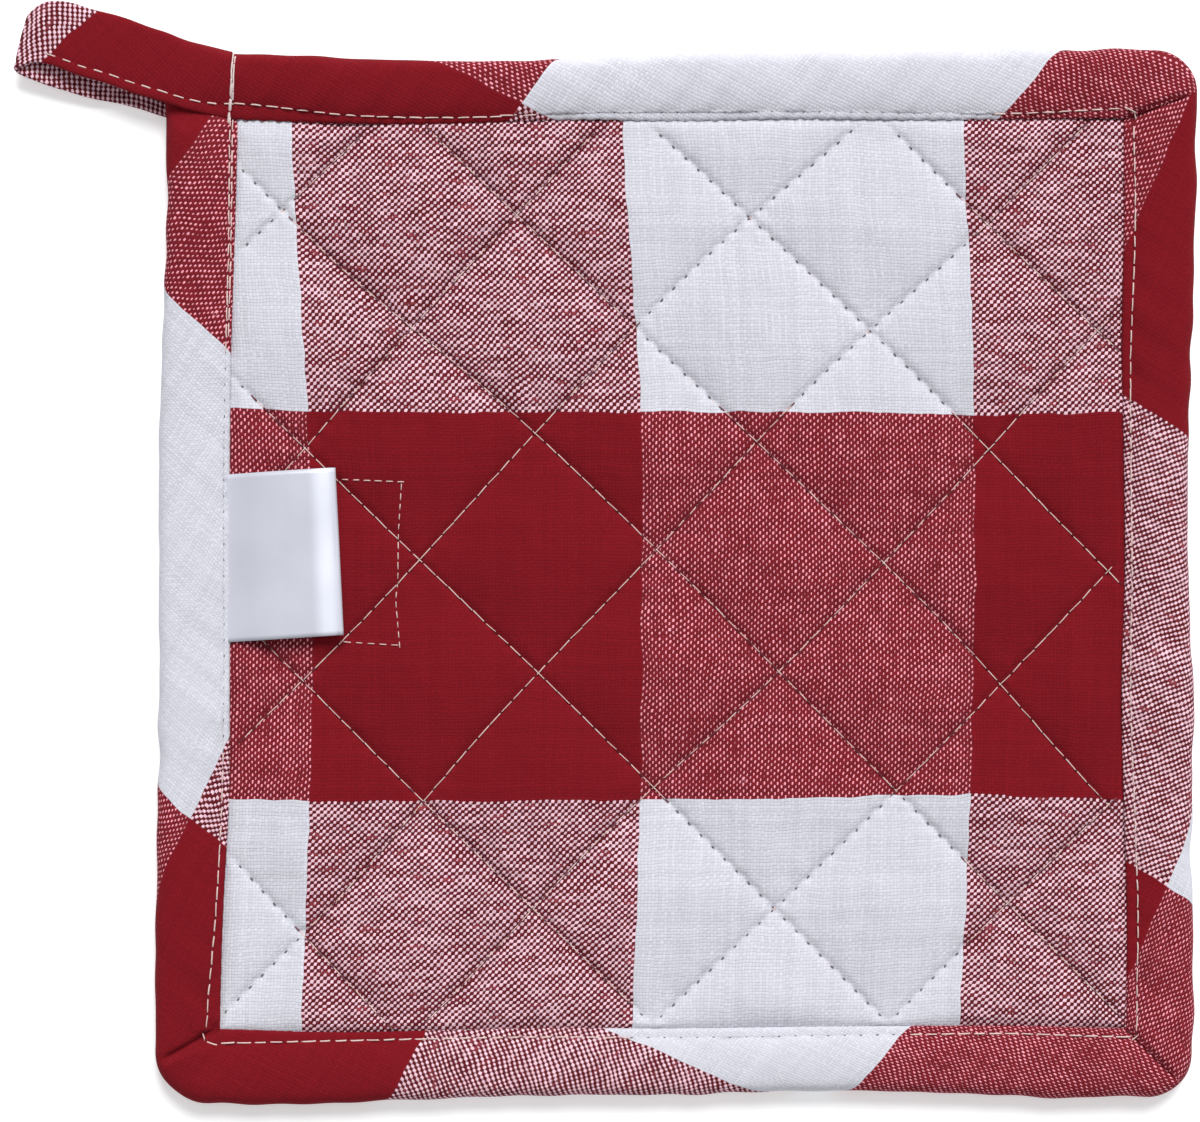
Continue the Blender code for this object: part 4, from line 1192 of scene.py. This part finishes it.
def sew_loop(thread, rings, ecru, heavy):
    """The loop's topstitching, and the bar tack: two thin strands at its start, then one thick strand."""
    row = section_line(loop_shape()[0])[2:int(LOOP_STITCHED_ROWS * LOOP_STEPS)]
    row = row + (0.0, 0.0, LOOP_THREAD_LIFT)
    sew("loop_stitches", [row], ecru, **row_sizes(thread, *STITCHES["loop"]))
    tack = rings[-1, CREST_ROW * SECTION_STEPS:LIP_ROW * SECTION_STEPS]
    tack = tack + np.column_stack([np.linspace(*TACK_LEAN, len(tack)), *np.zeros((2, len(tack)))])
    split = int((tack[:, 1] > TACK_THICK_FROM).sum())
    strands = [paced(tack[:split + 2] + shift, TACK_STEP) for shift in TACK_STRANDS]
    sew("bar_tack_start", strands, heavy, **row_sizes(thread, *STITCHES["tack_start"]))
    thick = paced(tack[split:] + THICK_STRAND, TACK_STEP)
    sew("bar_tack", [thick], heavy, **row_sizes(thread, *STITCHES["tack"]))


# ---------------------------------------------------------------- materials

def new_material(name, looks):
    """A material whose shader has the given values in its sockets."""
    material = bpy.data.materials.new(name)
    material.use_nodes = True
    shader = material.node_tree.nodes["Principled BSDF"]
    for socket, value in looks.items():
        shader.inputs[socket].default_value = value
    return material, material.node_tree, shader


def noise_2d(tree, spots, scale, detail):
    return node(tree, "ShaderNodeTexNoise", {"Vector": spots, "Scale": scale, "Detail": detail},
                noise_dimensions="2D")


def remap(tree, value, low, high, to_low, to_high, smooth=False):
    """Read a value between low and high as one between to_low and to_high."""
    return node(tree, "ShaderNodeMapRange",
                {"Value": value, "From Min": low, "From Max": high, "To Min": to_low, "To Max": to_high},
                interpolation_type="SMOOTHSTEP" if smooth else "LINEAR")


def blend(tree, share, first, second):
    """The first number where the share is 0, and the second where it is 1."""
    return node(tree, "ShaderNodeMix", {0: share, 2: first, 3: second})


def blend_colours(tree, share, first, second):
    """The first colour where the share is 0, and the second where it is 1."""
    return node(tree, "ShaderNodeMix", {0: share, 6: first, 7: second}, data_type="RGBA").outputs[2]


def finish_shader(tree, shader, colour, light, strength, distance, relief):
    """Give the shader a colour scaled by light, and a bump from the relief."""
    scaled = node(tree, "ShaderNodeVectorMath", {0: colour, 3: light}, operation="SCALE")
    tree.links.new(scaled.outputs[0], shader.inputs["Base Color"])
    bump = node(tree, "ShaderNodeBump", {"Strength": strength, "Distance": distance, "Height": relief})
    tree.links.new(bump.outputs[0], shader.inputs["Normal"])


def lay_yarns(tree, cloth):
    """Where a point is on the cloth: its place in mm, its pair of yarns, their tones, and its field.

    In a dotted field the warp is white and the weft red, in a barred field the weft is white.
    """
    weave = SimpleNamespace()
    pitches = (cloth.warp_pitch / MM, cloth.weft_pitch / MM)
    weave.uv = node(tree, "ShaderNodeUVMap", uv_map=CLOTH_UV)
    drift = noise_2d(tree, weave.uv, 0.11, 2.0)
    centred = vector_node(tree, "SUBTRACT", drift.outputs["Color"], (0.5, 0.5, 0.5))
    wander = vector_node(tree, "MULTIPLY", centred, (1.2, 1.2, 0.0))
    weave.mm = vector_node(tree, "ADD", weave.uv, wander)
    yarns = vector_node(tree, "DIVIDE", weave.mm, (*pitches, 1.0))
    weave.index = vector_node(tree, "FLOOR", yarns)
    weave.count = node(tree, "ShaderNodeSeparateXYZ", (yarns,)).outputs
    weave.whole = node(tree, "ShaderNodeSeparateXYZ", (weave.index,)).outputs
    weave.place = node(tree, "ShaderNodeSeparateXYZ", (weave.mm,)).outputs

    reds, weave.tones = [], []
    for axis, pitch, band in (("X", pitches[0], WARP_BAND), ("Y", pitches[1], WEFT_BAND)):
        centre = math_node(tree, "ADD", weave.whole[axis], 0.5)
        spot = math_node(tree, "MULTIPLY", centre, pitch)
        wrapped = math_node(tree, "FLOORED_MODULO", spot, 2 * band)
        reds.append(math_node(tree, "LESS_THAN", wrapped, band))
        dice = node(tree, "ShaderNodeTexWhiteNoise", {"W": centre}, noise_dimensions="1D")
        weave.tones.append(remap(tree, dice, 0.0, 1.0, 0.93, 1.05))
    weave.white_warp = math_node(tree, "SUBTRACT", 1.0, reds[0])
    weave.white_weft = math_node(tree, "SUBTRACT", 1.0, reds[1])
    weave.dotted = math_node(tree, "MULTIPLY", weave.white_warp, reds[1])
    weave.barred = math_node(tree, "MULTIPLY", weave.white_weft, reds[0])
    weave.mixed = math_node(tree, "ADD", weave.dotted, weave.barred)
    return weave


def slant_floats(tree, weave, cloth):
    """Make each crossing a short slanted float: the yarn's place shifts along its own run."""
    part = math_node(tree, "FRACT", weave.count["Y"])
    part = math_node(tree, "SUBTRACT", part, 0.5)
    lean = math_node(tree, "MULTIPLY_ADD", weave.dotted, -0.5 * cloth.slant, cloth.slant)
    slanted = math_node(tree, "MULTIPLY_ADD", part, lean, weave.count["X"])
    across = math_node(tree, "MULTIPLY", slanted, math.pi)
    across = math_node(tree, "SINE", across)
    narrow = math_node(tree, "MULTIPLY", across, across)
    narrow = blend(tree, weave.dotted, 1.0, narrow)
    weave.across = math_node(tree, "MULTIPLY", across, narrow)
    along = math_node(tree, "MULTIPLY", weave.count["Y"], math.pi)
    along = math_node(tree, "SINE", along)
    square = math_node(tree, "MULTIPLY", along, along)
    longer = math_node(tree, "MULTIPLY_ADD", square, -1.0, 2.0)
    weave.along = math_node(tree, "MULTIPLY", along, longer)
    over = math_node(tree, "MULTIPLY", weave.across, weave.along)
    lane = math_node(tree, "ABSOLUTE", weave.across)
    lane = math_node(tree, "MULTIPLY", lane, weave.dotted)
    weave.over = math_node(tree, "MULTIPLY_ADD", lane, 0.45, over)


def yarn_thickness(tree, weave):
    """Thickness of the warp and the weft yarn at a point, uneven along each."""
    signals = []
    for axis, along in (("X", weave.place["Y"]), ("Y", weave.place["X"])):
        lane = math_node(tree, "MULTIPLY", weave.whole[axis], 7.31)
        run = math_node(tree, "MULTIPLY", along, 0.15)
        spot = node(tree, "ShaderNodeCombineXYZ", (lane, run, 0.0))
        signals.append(noise_2d(tree, spot, 1.0, 1.0))
    return signals


def cover_yarns(tree, weave, cloth):
    """Say which yarn is on top: thick places cover more, and now and then a slub covers its neighbours."""
    warp, weft = yarn_thickness(tree, weave)
    warp_share = math_node(tree, "MULTIPLY_ADD", weave.barred, -0.65, 1.0)
    warp_swell = math_node(tree, "SUBTRACT", warp, 0.5)
    warp_swell = math_node(tree, "MULTIPLY", warp_swell, warp_share)
    weft_swell = math_node(tree, "SUBTRACT", weft, 0.5)
    uneven = math_node(tree, "SUBTRACT", weft_swell, warp_swell)
    bias = math_node(tree, "MULTIPLY", weave.dotted, cloth.dot_size)
    bias = math_node(tree, "MULTIPLY_ADD", weave.barred, -0.12, bias)
    bias = math_node(tree, "MULTIPLY_ADD", uneven, 1.3, bias)
    clouds = noise_2d(tree, weave.uv, 0.12, 3.0)
    clouds = math_node(tree, "SUBTRACT", clouds, 0.5)
    bias = math_node(tree, "MULTIPLY_ADD", clouds, 0.25, bias)
    runs = vector_node(tree, "MULTIPLY", weave.mm, (0.2, 0.6, 0.0))
    blots = noise_2d(tree, runs, 1.0, 1.0)
    slub = remap(tree, blots, 0.66, 0.78, 0.0, 0.6)
    weave.slub = math_node(tree, "MULTIPLY", slub, weave.barred)
    bias = math_node(tree, "SUBTRACT", bias, weave.slub)

    # Beside the quilting more red yarn shows on top in the mixed fields: painted shade along the seams.
    weave.sewn = node(tree, "ShaderNodeAttribute", attribute_name=SEWN).outputs["Fac"]
    seam_shade_cover = math_node(tree, "MULTIPLY_ADD", weave.barred, -1.2, weave.dotted)
    seam_shade_cover = math_node(tree, "MULTIPLY", seam_shade_cover, weave.sewn)
    bias = math_node(tree, "MULTIPLY_ADD", seam_shade_cover, 0.18, bias)
    weave.above = math_node(tree, "SUBTRACT", weave.over, bias)


def dye_yarns(tree, weave, cloth):
    """Give the yarn on top its colour; among red yarns the white ones are painted pink, for red light
    reflected onto them, and the red ones lie in their shade.
    """
    red, white, pink, rose = ((*colour, 1.0) for colour in (cloth.red, cloth.white, cloth.pink, cloth.rose))
    cover = remap(tree, weave.above, -0.2, 0.2, 0.0, 1.0, smooth=True)
    whiteness = blend(tree, cover, weave.white_weft, weave.white_warp)
    pale = blend_colours(tree, weave.barred, white, pink)
    pale = blend_colours(tree, weave.dotted, pale, rose)
    least = math_node(tree, "MULTIPLY", weave.mixed, 0.025)
    weave.whiteness = math_node(tree, "MAXIMUM", whiteness, least)
    fuzzy = math_node(tree, "MULTIPLY", weave.slub, 0.12)
    dyed = blend_colours(tree, fuzzy, red, rose)
    weave.colour = blend_colours(tree, weave.whiteness, dyed, pale)
    weave.tone = blend(tree, cover, weave.tones[1], weave.tones[0])


def light_crossings(tree, weave, cloth):
    """Light and shade at the crossings: deep between red and white, slight in plain cloth."""
    shade = math_node(tree, "MULTIPLY_ADD", weave.barred, -cloth.dot_shadow, 1.0)
    shade = math_node(tree, "MULTIPLY_ADD", weave.dotted, -0.3 * cloth.dot_shadow, shade)
    shade = math_node(tree, "MULTIPLY_ADD", weave.slub, 0.6, shade)
    raised = math_node(tree, "MULTIPLY_ADD", weave.barred, 0.15, 1.0)
    lit = blend(tree, weave.whiteness, shade, raised)
    weave.away = math_node(tree, "ABSOLUTE", weave.above)
    edge = remap(tree, weave.away, 0.0, 0.35, 1.0, 0.0, smooth=True)
    depth = math_node(tree, "MULTIPLY_ADD", weave.mixed, 0.1, 0.08)
    lost = math_node(tree, "MULTIPLY", edge, depth)
    kept = math_node(tree, "SUBTRACT", 1.0, lost)

    # Painted shade in the pores between four yarns, more in loose rows.
    corner_a = math_node(tree, "ABSOLUTE", weave.across)
    corner_b = math_node(tree, "ABSOLUTE", weave.along)
    corner = math_node(tree, "MAXIMUM", corner_a, corner_b)
    pore = remap(tree, corner, 0.15, 0.6, 1.0, 0.0)
    rows = vector_node(tree, "MULTIPLY", weave.mm, (0.05, 0.5, 0.0))
    loose = noise_2d(tree, rows, 1.0, 2.0)
    loose = remap(tree, loose, 0.45, 0.72, cloth.pores, 0.85)
    pore = math_node(tree, "MULTIPLY", pore, loose)
    closed = math_node(tree, "SUBTRACT", 1.0, pore)
    kept = math_node(tree, "MULTIPLY", kept, closed)

    # Single crossings differ and washing left faint clouds; beside the seams the mixed fields get painted
    # shade.
    crossing = node(tree, "ShaderNodeTexWhiteNoise", {"Vector": weave.index}, noise_dimensions="2D")
    spread = math_node(tree, "MULTIPLY_ADD", weave.mixed, 0.22, 0.05)
    swing = math_node(tree, "SUBTRACT", crossing, 0.5)
    swing = math_node(tree, "MULTIPLY_ADD", swing, spread, 1.0)
    wash = noise_2d(tree, weave.uv, 0.04, 3.0)
    washed = remap(tree, wash, 0.3, 0.7, 0.98, 1.02)
    seam_shade = math_node(tree, "MULTIPLY", weave.sewn, weave.mixed)
    seam_shade = math_node(tree, "MULTIPLY_ADD", seam_shade, -0.09, 1.0)
    weave.light = math_node(tree, "MULTIPLY", kept, swing)
    for factor in (washed, lit, weave.tone, seam_shade):
        weave.light = math_node(tree, "MULTIPLY", weave.light, factor)


def yarn_dyed_cotton(name, cloth, pressed):
    """Plain weave of dyed yarns: red and white warp and weft stripes, so red on white shows as dots.

    The eye sees single crossings, about 0.65 mm apart and a little slanted by the yarns' twist, uneven
    yarns, and a dry, soft surface. Pressed cloth has less relief.
    """
    material, tree, shader = new_material(name, {
        "Roughness": 0.95, "IOR": 1.45, "Specular IOR Level": 0.04, "Sheen Weight": 0.015,
        "Sheen Roughness": 0.6})
    weave = lay_yarns(tree, cloth)
    for step in (slant_floats, cover_yarns, dye_yarns, light_crossings):
        step(tree, weave, cloth)
    height = math_node(tree, "POWER", weave.away, 0.6)
    fibres = noise_2d(tree, weave.mm, 7.0, 2.0)
    relief = math_node(tree, "MULTIPLY_ADD", fibres, 0.3, height)
    finish_shader(tree, shader, weave.colour, weave.light, pressed, 0.00016, relief)
    return material


def satin_ribbon(label):
    """Woven polyester satin: smooth, cool white, with a soft sheen across its fine lengthwise yarns."""
    material, tree, shader = new_material("polyester_satin_ribbon", {
        "Roughness": 0.36, "IOR": 1.5, "Anisotropic": 0.5, "Sheen Weight": 0.2})
    uv = node(tree, "ShaderNodeUVMap", uv_map=CLOTH_UV)
    yarn_mm = 0.16              # drawn about twice as coarse as real satin, so that it shows close up
    lines = vector_node(tree, "MULTIPLY", uv, (1 / yarn_mm, 0.05, 0.0))
    yarns = noise_2d(tree, lines, 1.0, 2.0)
    clouds = noise_2d(tree, uv, 0.09, 2.0)
    tone = remap(tree, clouds, 0.3, 0.7, 0.96, 1.03)

    # Painted highlight on the bulge beside the fold, along the ribbon's width, and painted shade on the
    # fold.
    along = node(tree, "ShaderNodeSeparateXYZ", (uv,)).outputs["Y"]
    from_fold = math_node(tree, "SUBTRACT", along, 0.5 * LABEL_CUT[1])
    from_fold = math_node(tree, "ABSOLUTE", from_fold)
    from_bulge = math_node(tree, "SUBTRACT", from_fold, 3.4)
    from_bulge = math_node(tree, "ABSOLUTE", from_bulge)
    painted_highlight = remap(tree, from_bulge, 0.3, 3.2, 1.4, 1.0, smooth=True)
    fold_shade = remap(tree, from_fold, 0.4, 1.8, 0.9, 1.0, smooth=True)
    for factor in (painted_highlight, fold_shade):
        tone = math_node(tree, "MULTIPLY", tone, factor)
    finish_shader(tree, shader, tuple(label.colour), tone, 0.12, 0.00005, yarns)
    return material


def spun_thread(name, colour, roughness=0.75):
    """Spun sewing thread: two twisted plies give short slanting light and dark lines."""
    material, tree, shader = new_material(name, {"Roughness": roughness, "Sheen Weight": 0.1})
    spot = node(tree, "ShaderNodeTexCoord").outputs["Object"]
    twist = node(tree, "ShaderNodeTexNoise", {"Vector": spot, "Scale": 3500.0, "Detail": 1.0})
    tone = remap(tree, twist, 0.3, 0.7, 0.82, 1.12)
    finish_shader(tree, shader, tuple(colour), tone, 0.4, 0.00005, twist)
    return material


# ---------------------------------------------------------------- settings

class ClothSettings(bpy.types.PropertyGroup):
    red: FloatVectorProperty(name="Red yarn", description="Dyed red cotton yarn", subtype="COLOR", size=3,
                             min=0.0, max=1.0, default=linear("79161F"))
    white: FloatVectorProperty(name="White yarn", description="Bleached cotton yarn", subtype="COLOR",
                               size=3, min=0.0, max=1.0, default=linear("CFCFD8"))
    # pink and rose: white yarn painted pink among red yarns, for the red light reflected onto it
    pink: FloatVectorProperty(name="White on red", description="White weft lit by the red warp beside it",
                              subtype="COLOR", size=3, min=0.0, max=1.0, default=linear("D9B4C0"))
    rose: FloatVectorProperty(name="Red over white", description="White warp between red weft yarns",
                              subtype="COLOR", size=3, min=0.0, max=1.0, default=linear("F5A1B0"))
    warp_pitch: FloatProperty(name="Warp pitch", description="Distance between warp yarns", unit="LENGTH",
                              default=0.00066, precision=5)
    weft_pitch: FloatProperty(name="Weft pitch", description="Distance between weft yarns", unit="LENGTH",
                              default=0.00062, precision=5)
    slant: FloatProperty(name="Slant", description="Lean of each crossing, as a share of the pitch",
                         default=0.3)
    dot_size: FloatProperty(name="Red cover", description="How far red weft hides the white warp",
                            min=0.0, max=1.0, default=0.78)
    pores: FloatProperty(name="Pores", description="Least darkness of the gaps between four yarns",
                         subtype="FACTOR", min=0.0, max=1.0, default=0.22)
    dot_shadow: FloatProperty(name="Dot shadow", description="Shade on red yarns between white ones",
                              subtype="FACTOR", min=0.0, max=1.0, default=0.45)


class QuiltSettings(bpy.types.PropertyGroup):
    crown: FloatProperty(name="Crown height", description="Height of the filled diamonds", unit="LENGTH",
                         default=CROWN_TOP * MM, precision=4)
    seam: FloatProperty(name="Seam height", description="Height of the sewn lines", unit="LENGTH",
                        default=SEAM_TOP * MM, precision=4)
    pucker: FloatProperty(name="Pucker", description="Height of the puckers beside the seams",
                          unit="LENGTH", default=0.00022, precision=5)


class BindingSettings(bpy.types.PropertyGroup):
    pucker: FloatProperty(name="Pucker", description="Height of the slanting folds", unit="LENGTH",
                          default=0.0002, precision=5)
    mitre: FloatProperty(name="Mitre depth", description="Depth of the folds at the corners", unit="LENGTH",
                         default=0.0011, precision=5)


class LabelSettings(bpy.types.PropertyGroup):
    colour: FloatVectorProperty(name="Ribbon", description="Colour of the satin", subtype="COLOR", size=3,
                                min=0.0, max=1.0, default=linear("C1C3CE"))
    thickness: FloatProperty(name="Thickness", description="Thickness of the ribbon", unit="LENGTH",
                             default=0.0002, precision=5)
    ply_gap: FloatProperty(name="Fold height", description="Height of the fold between the plies",
                           unit="LENGTH", default=0.0013, precision=5)


class ThreadSettings(bpy.types.PropertyGroup):
    radius: FloatProperty(name="Thread radius", description="Half the thickness of the sewing thread",
                          unit="LENGTH", default=0.0001, precision=5)
    seed: IntProperty(name="Seed", description="Seed of the stitches' unevenness", default=7)


class StageSettings(bpy.types.PropertyGroup):
    width: FloatProperty(name="View width", description="Width that the camera sees", unit="LENGTH",
                         default=0.23076)
    lens: FloatProperty(name="Lens", description="Focal length of the camera", default=120.0)
    key: FloatProperty(name="Key light", description="Strength of the lamp at the top", default=3.25)
    glow: FloatProperty(name="Floor glow", description="Light that the light table under the part gives",
                        default=0.32)
    fill: FloatProperty(name="Fill light", description="Strength of the light from all round", default=0.46)


SETTINGS = (("cloth", ClothSettings), ("quilt", QuiltSettings), ("binding", BindingSettings),
            ("label", LabelSettings), ("thread", ThreadSettings), ("stage", StageSettings))


class PotHolderSettings(bpy.types.PropertyGroup):
    cloth: PointerProperty(type=ClothSettings)
    quilt: PointerProperty(type=QuiltSettings)
    binding: PointerProperty(type=BindingSettings)
    label: PointerProperty(type=LabelSettings)
    thread: PointerProperty(type=ThreadSettings)
    stage: PointerProperty(type=StageSettings)


# ---------------------------------------------------------------- operators

class POTHOLDER_OT_panel(bpy.types.Operator):
    """Make the quilted panel"""
    bl_idname = "potholder.panel"
    bl_label = "Quilted panel"

    def execute(self, context):
        settings = context.scene.pot_holder
        cotton = yarn_dyed_cotton("yarn_dyed_cotton", settings.cloth, 0.5)
        panel = build_panel(settings.quilt, cotton)
        finish_piece(panel, "quilted_panel", slot="checked_cotton")
        return {"FINISHED"}


class POTHOLDER_OT_binding(bpy.types.Operator):
    """Make the bias binding and the hanging loop that it runs on into"""
    bl_idname = "potholder.binding"
    bl_label = "Binding and loop"

    def execute(self, context):
        settings = context.scene.pot_holder
        cotton = yarn_dyed_cotton("bias_cut_cotton", settings.cloth, 0.45)
        rings, side = binding_shape(settings.binding)
        before, after = binding_uv(rings, side)
        binding = loft_tube("binding_strip", rings, before, after, cotton)
        finish_piece(binding, "binding", slot="binding_cotton")
        rings, s, t = loop_shape()
        uv = strip_uv(s, t, rings[..., 2])
        tape = yarn_dyed_cotton("loop_tape_cotton", settings.cloth, 0.45)
        loop = loft_tube("loop_tape", rings, uv, uv, tape)
        finish_piece(loop, "hanging_loop", slot="loop_cotton")
        return {"FINISHED"}


class POTHOLDER_OT_label(bpy.types.Operator):
    """Make the folded ribbon label"""
    bl_idname = "potholder.label"
    bl_label = "Label"

    def execute(self, context):
        settings = context.scene.pot_holder
        ribbon = build_label(settings.label, settings.quilt, satin_ribbon(settings.label))
        finish_piece(ribbon, "label", slot="label_satin")
        return {"FINISHED"}


class POTHOLDER_OT_stitches(bpy.types.Operator):
    """Sew the quilting, the edge, the label box, the loop and the bar tack"""
    bl_idname = "potholder.stitches"
    bl_label = "Stitches"

    def execute(self, context):
        settings = context.scene.pot_holder
        quilt, thread = settings.quilt, settings.thread
        ecru = spun_thread("spun_sewing_thread", linear("DCC0BA"))
        heavy = spun_thread("heavy_tack_thread", linear("DCC8C6"))
        rings, side = binding_shape(settings.binding)
        sew_face(quilt, thread, edge_line(rings, side), ecru)
        sew_underside(quilt, thread, rings, ecru)
        sew_label_box(quilt, thread, ecru)
        sew_loop(thread, rings, ecru, heavy)
        return {"FINISHED"}


class POTHOLDER_OT_stage(bpy.types.Operator):
    """Set the floor, the lights and the camera straight above"""
    bl_idname = "potholder.stage"
    bl_label = "Stage"

    def execute(self, context):
        stage = context.scene.pot_holder.stage
        scene = context.scene
        bpy.ops.mesh.primitive_plane_add(size=FLOOR_SIZE, location=(0.0, 0.0, -FLOOR_GAP))
        floor = context.active_object
        floor.name = "floor"
        material, _, _ = new_material("matt_white_floor", {
            "Base Color": (0.92, 0.93, 0.93, 1.0), "Roughness": 0.95, "Specular IOR Level": 0.1,
            "Emission Color": (1.0, 1.0, 1.0, 1.0), "Emission Strength": stage.glow})
        floor.data.materials.append(material)

        world = bpy.data.worlds.new("studio")
        scene.world = world
        world.use_nodes = True
        sky = world.node_tree.nodes["Background"]
        sky.inputs["Color"].default_value = (0.98, 0.99, 1.0, 1.0)
        sky.inputs["Strength"].default_value = stage.fill
        lamp = bpy.data.lights.new("soft_key", "SUN")
        lamp.energy = stage.key
        lamp.angle = math.radians(KEY_SOFTNESS)
        lamp_object = bpy.data.objects.new("soft_key", lamp)
        lamp_object.location = KEY_FROM
        lamp_object.rotation_euler = (-lamp_object.location).to_track_quat("-Z", "Y").to_euler()
        scene.collection.objects.link(lamp_object)

        camera = bpy.data.cameras.new("camera")
        camera.lens = stage.lens
        camera.sensor_width = 36.0
        holder = bpy.data.objects.new("camera", camera)
        centre = place([VIEW_CENTRE])[0]
        distance = stage.width * stage.lens / camera.sensor_width
        holder.location = (centre[0], centre[1], centre[2] + distance)
        scene.collection.objects.link(holder)
        scene.camera = holder
        scene.view_settings.view_transform = "Standard"
        return {"FINISHED"}


OPERATORS = (POTHOLDER_OT_panel, POTHOLDER_OT_binding, POTHOLDER_OT_label, POTHOLDER_OT_stitches,
             POTHOLDER_OT_stage)


class POTHOLDER_PT_sidebar(bpy.types.Panel):
    """Buttons and sizes of the pot holder"""
    bl_idname = "POTHOLDER_PT_sidebar"
    bl_label = "Pot holder"
    bl_space_type = "VIEW_3D"
    bl_region_type = "UI"
    bl_category = "Pot holder"

    def draw(self, context):
        for operator in OPERATORS:
            self.layout.operator(operator.bl_idname)
        for name, group in SETTINGS:
            box = self.layout.box()
            for prop in group.__annotations__:
                box.prop(getattr(context.scene.pot_holder, name), prop)


CLASSES = tuple(group for _, group in SETTINGS) + (PotHolderSettings, *OPERATORS, POTHOLDER_PT_sidebar)


def register():
    for item in CLASSES:
        bpy.utils.register_class(item)
    bpy.types.Scene.pot_holder = PointerProperty(type=PotHolderSettings)


def unregister():
    del bpy.types.Scene.pot_holder
    for item in reversed(CLASSES):
        bpy.utils.unregister_class(item)


def main():
    register()
    bpy.ops.potholder.panel()
    bpy.ops.potholder.binding()
    bpy.ops.potholder.label()
    bpy.ops.potholder.stitches()
    bpy.ops.potholder.stage()


if __name__ == "__main__":
    main()
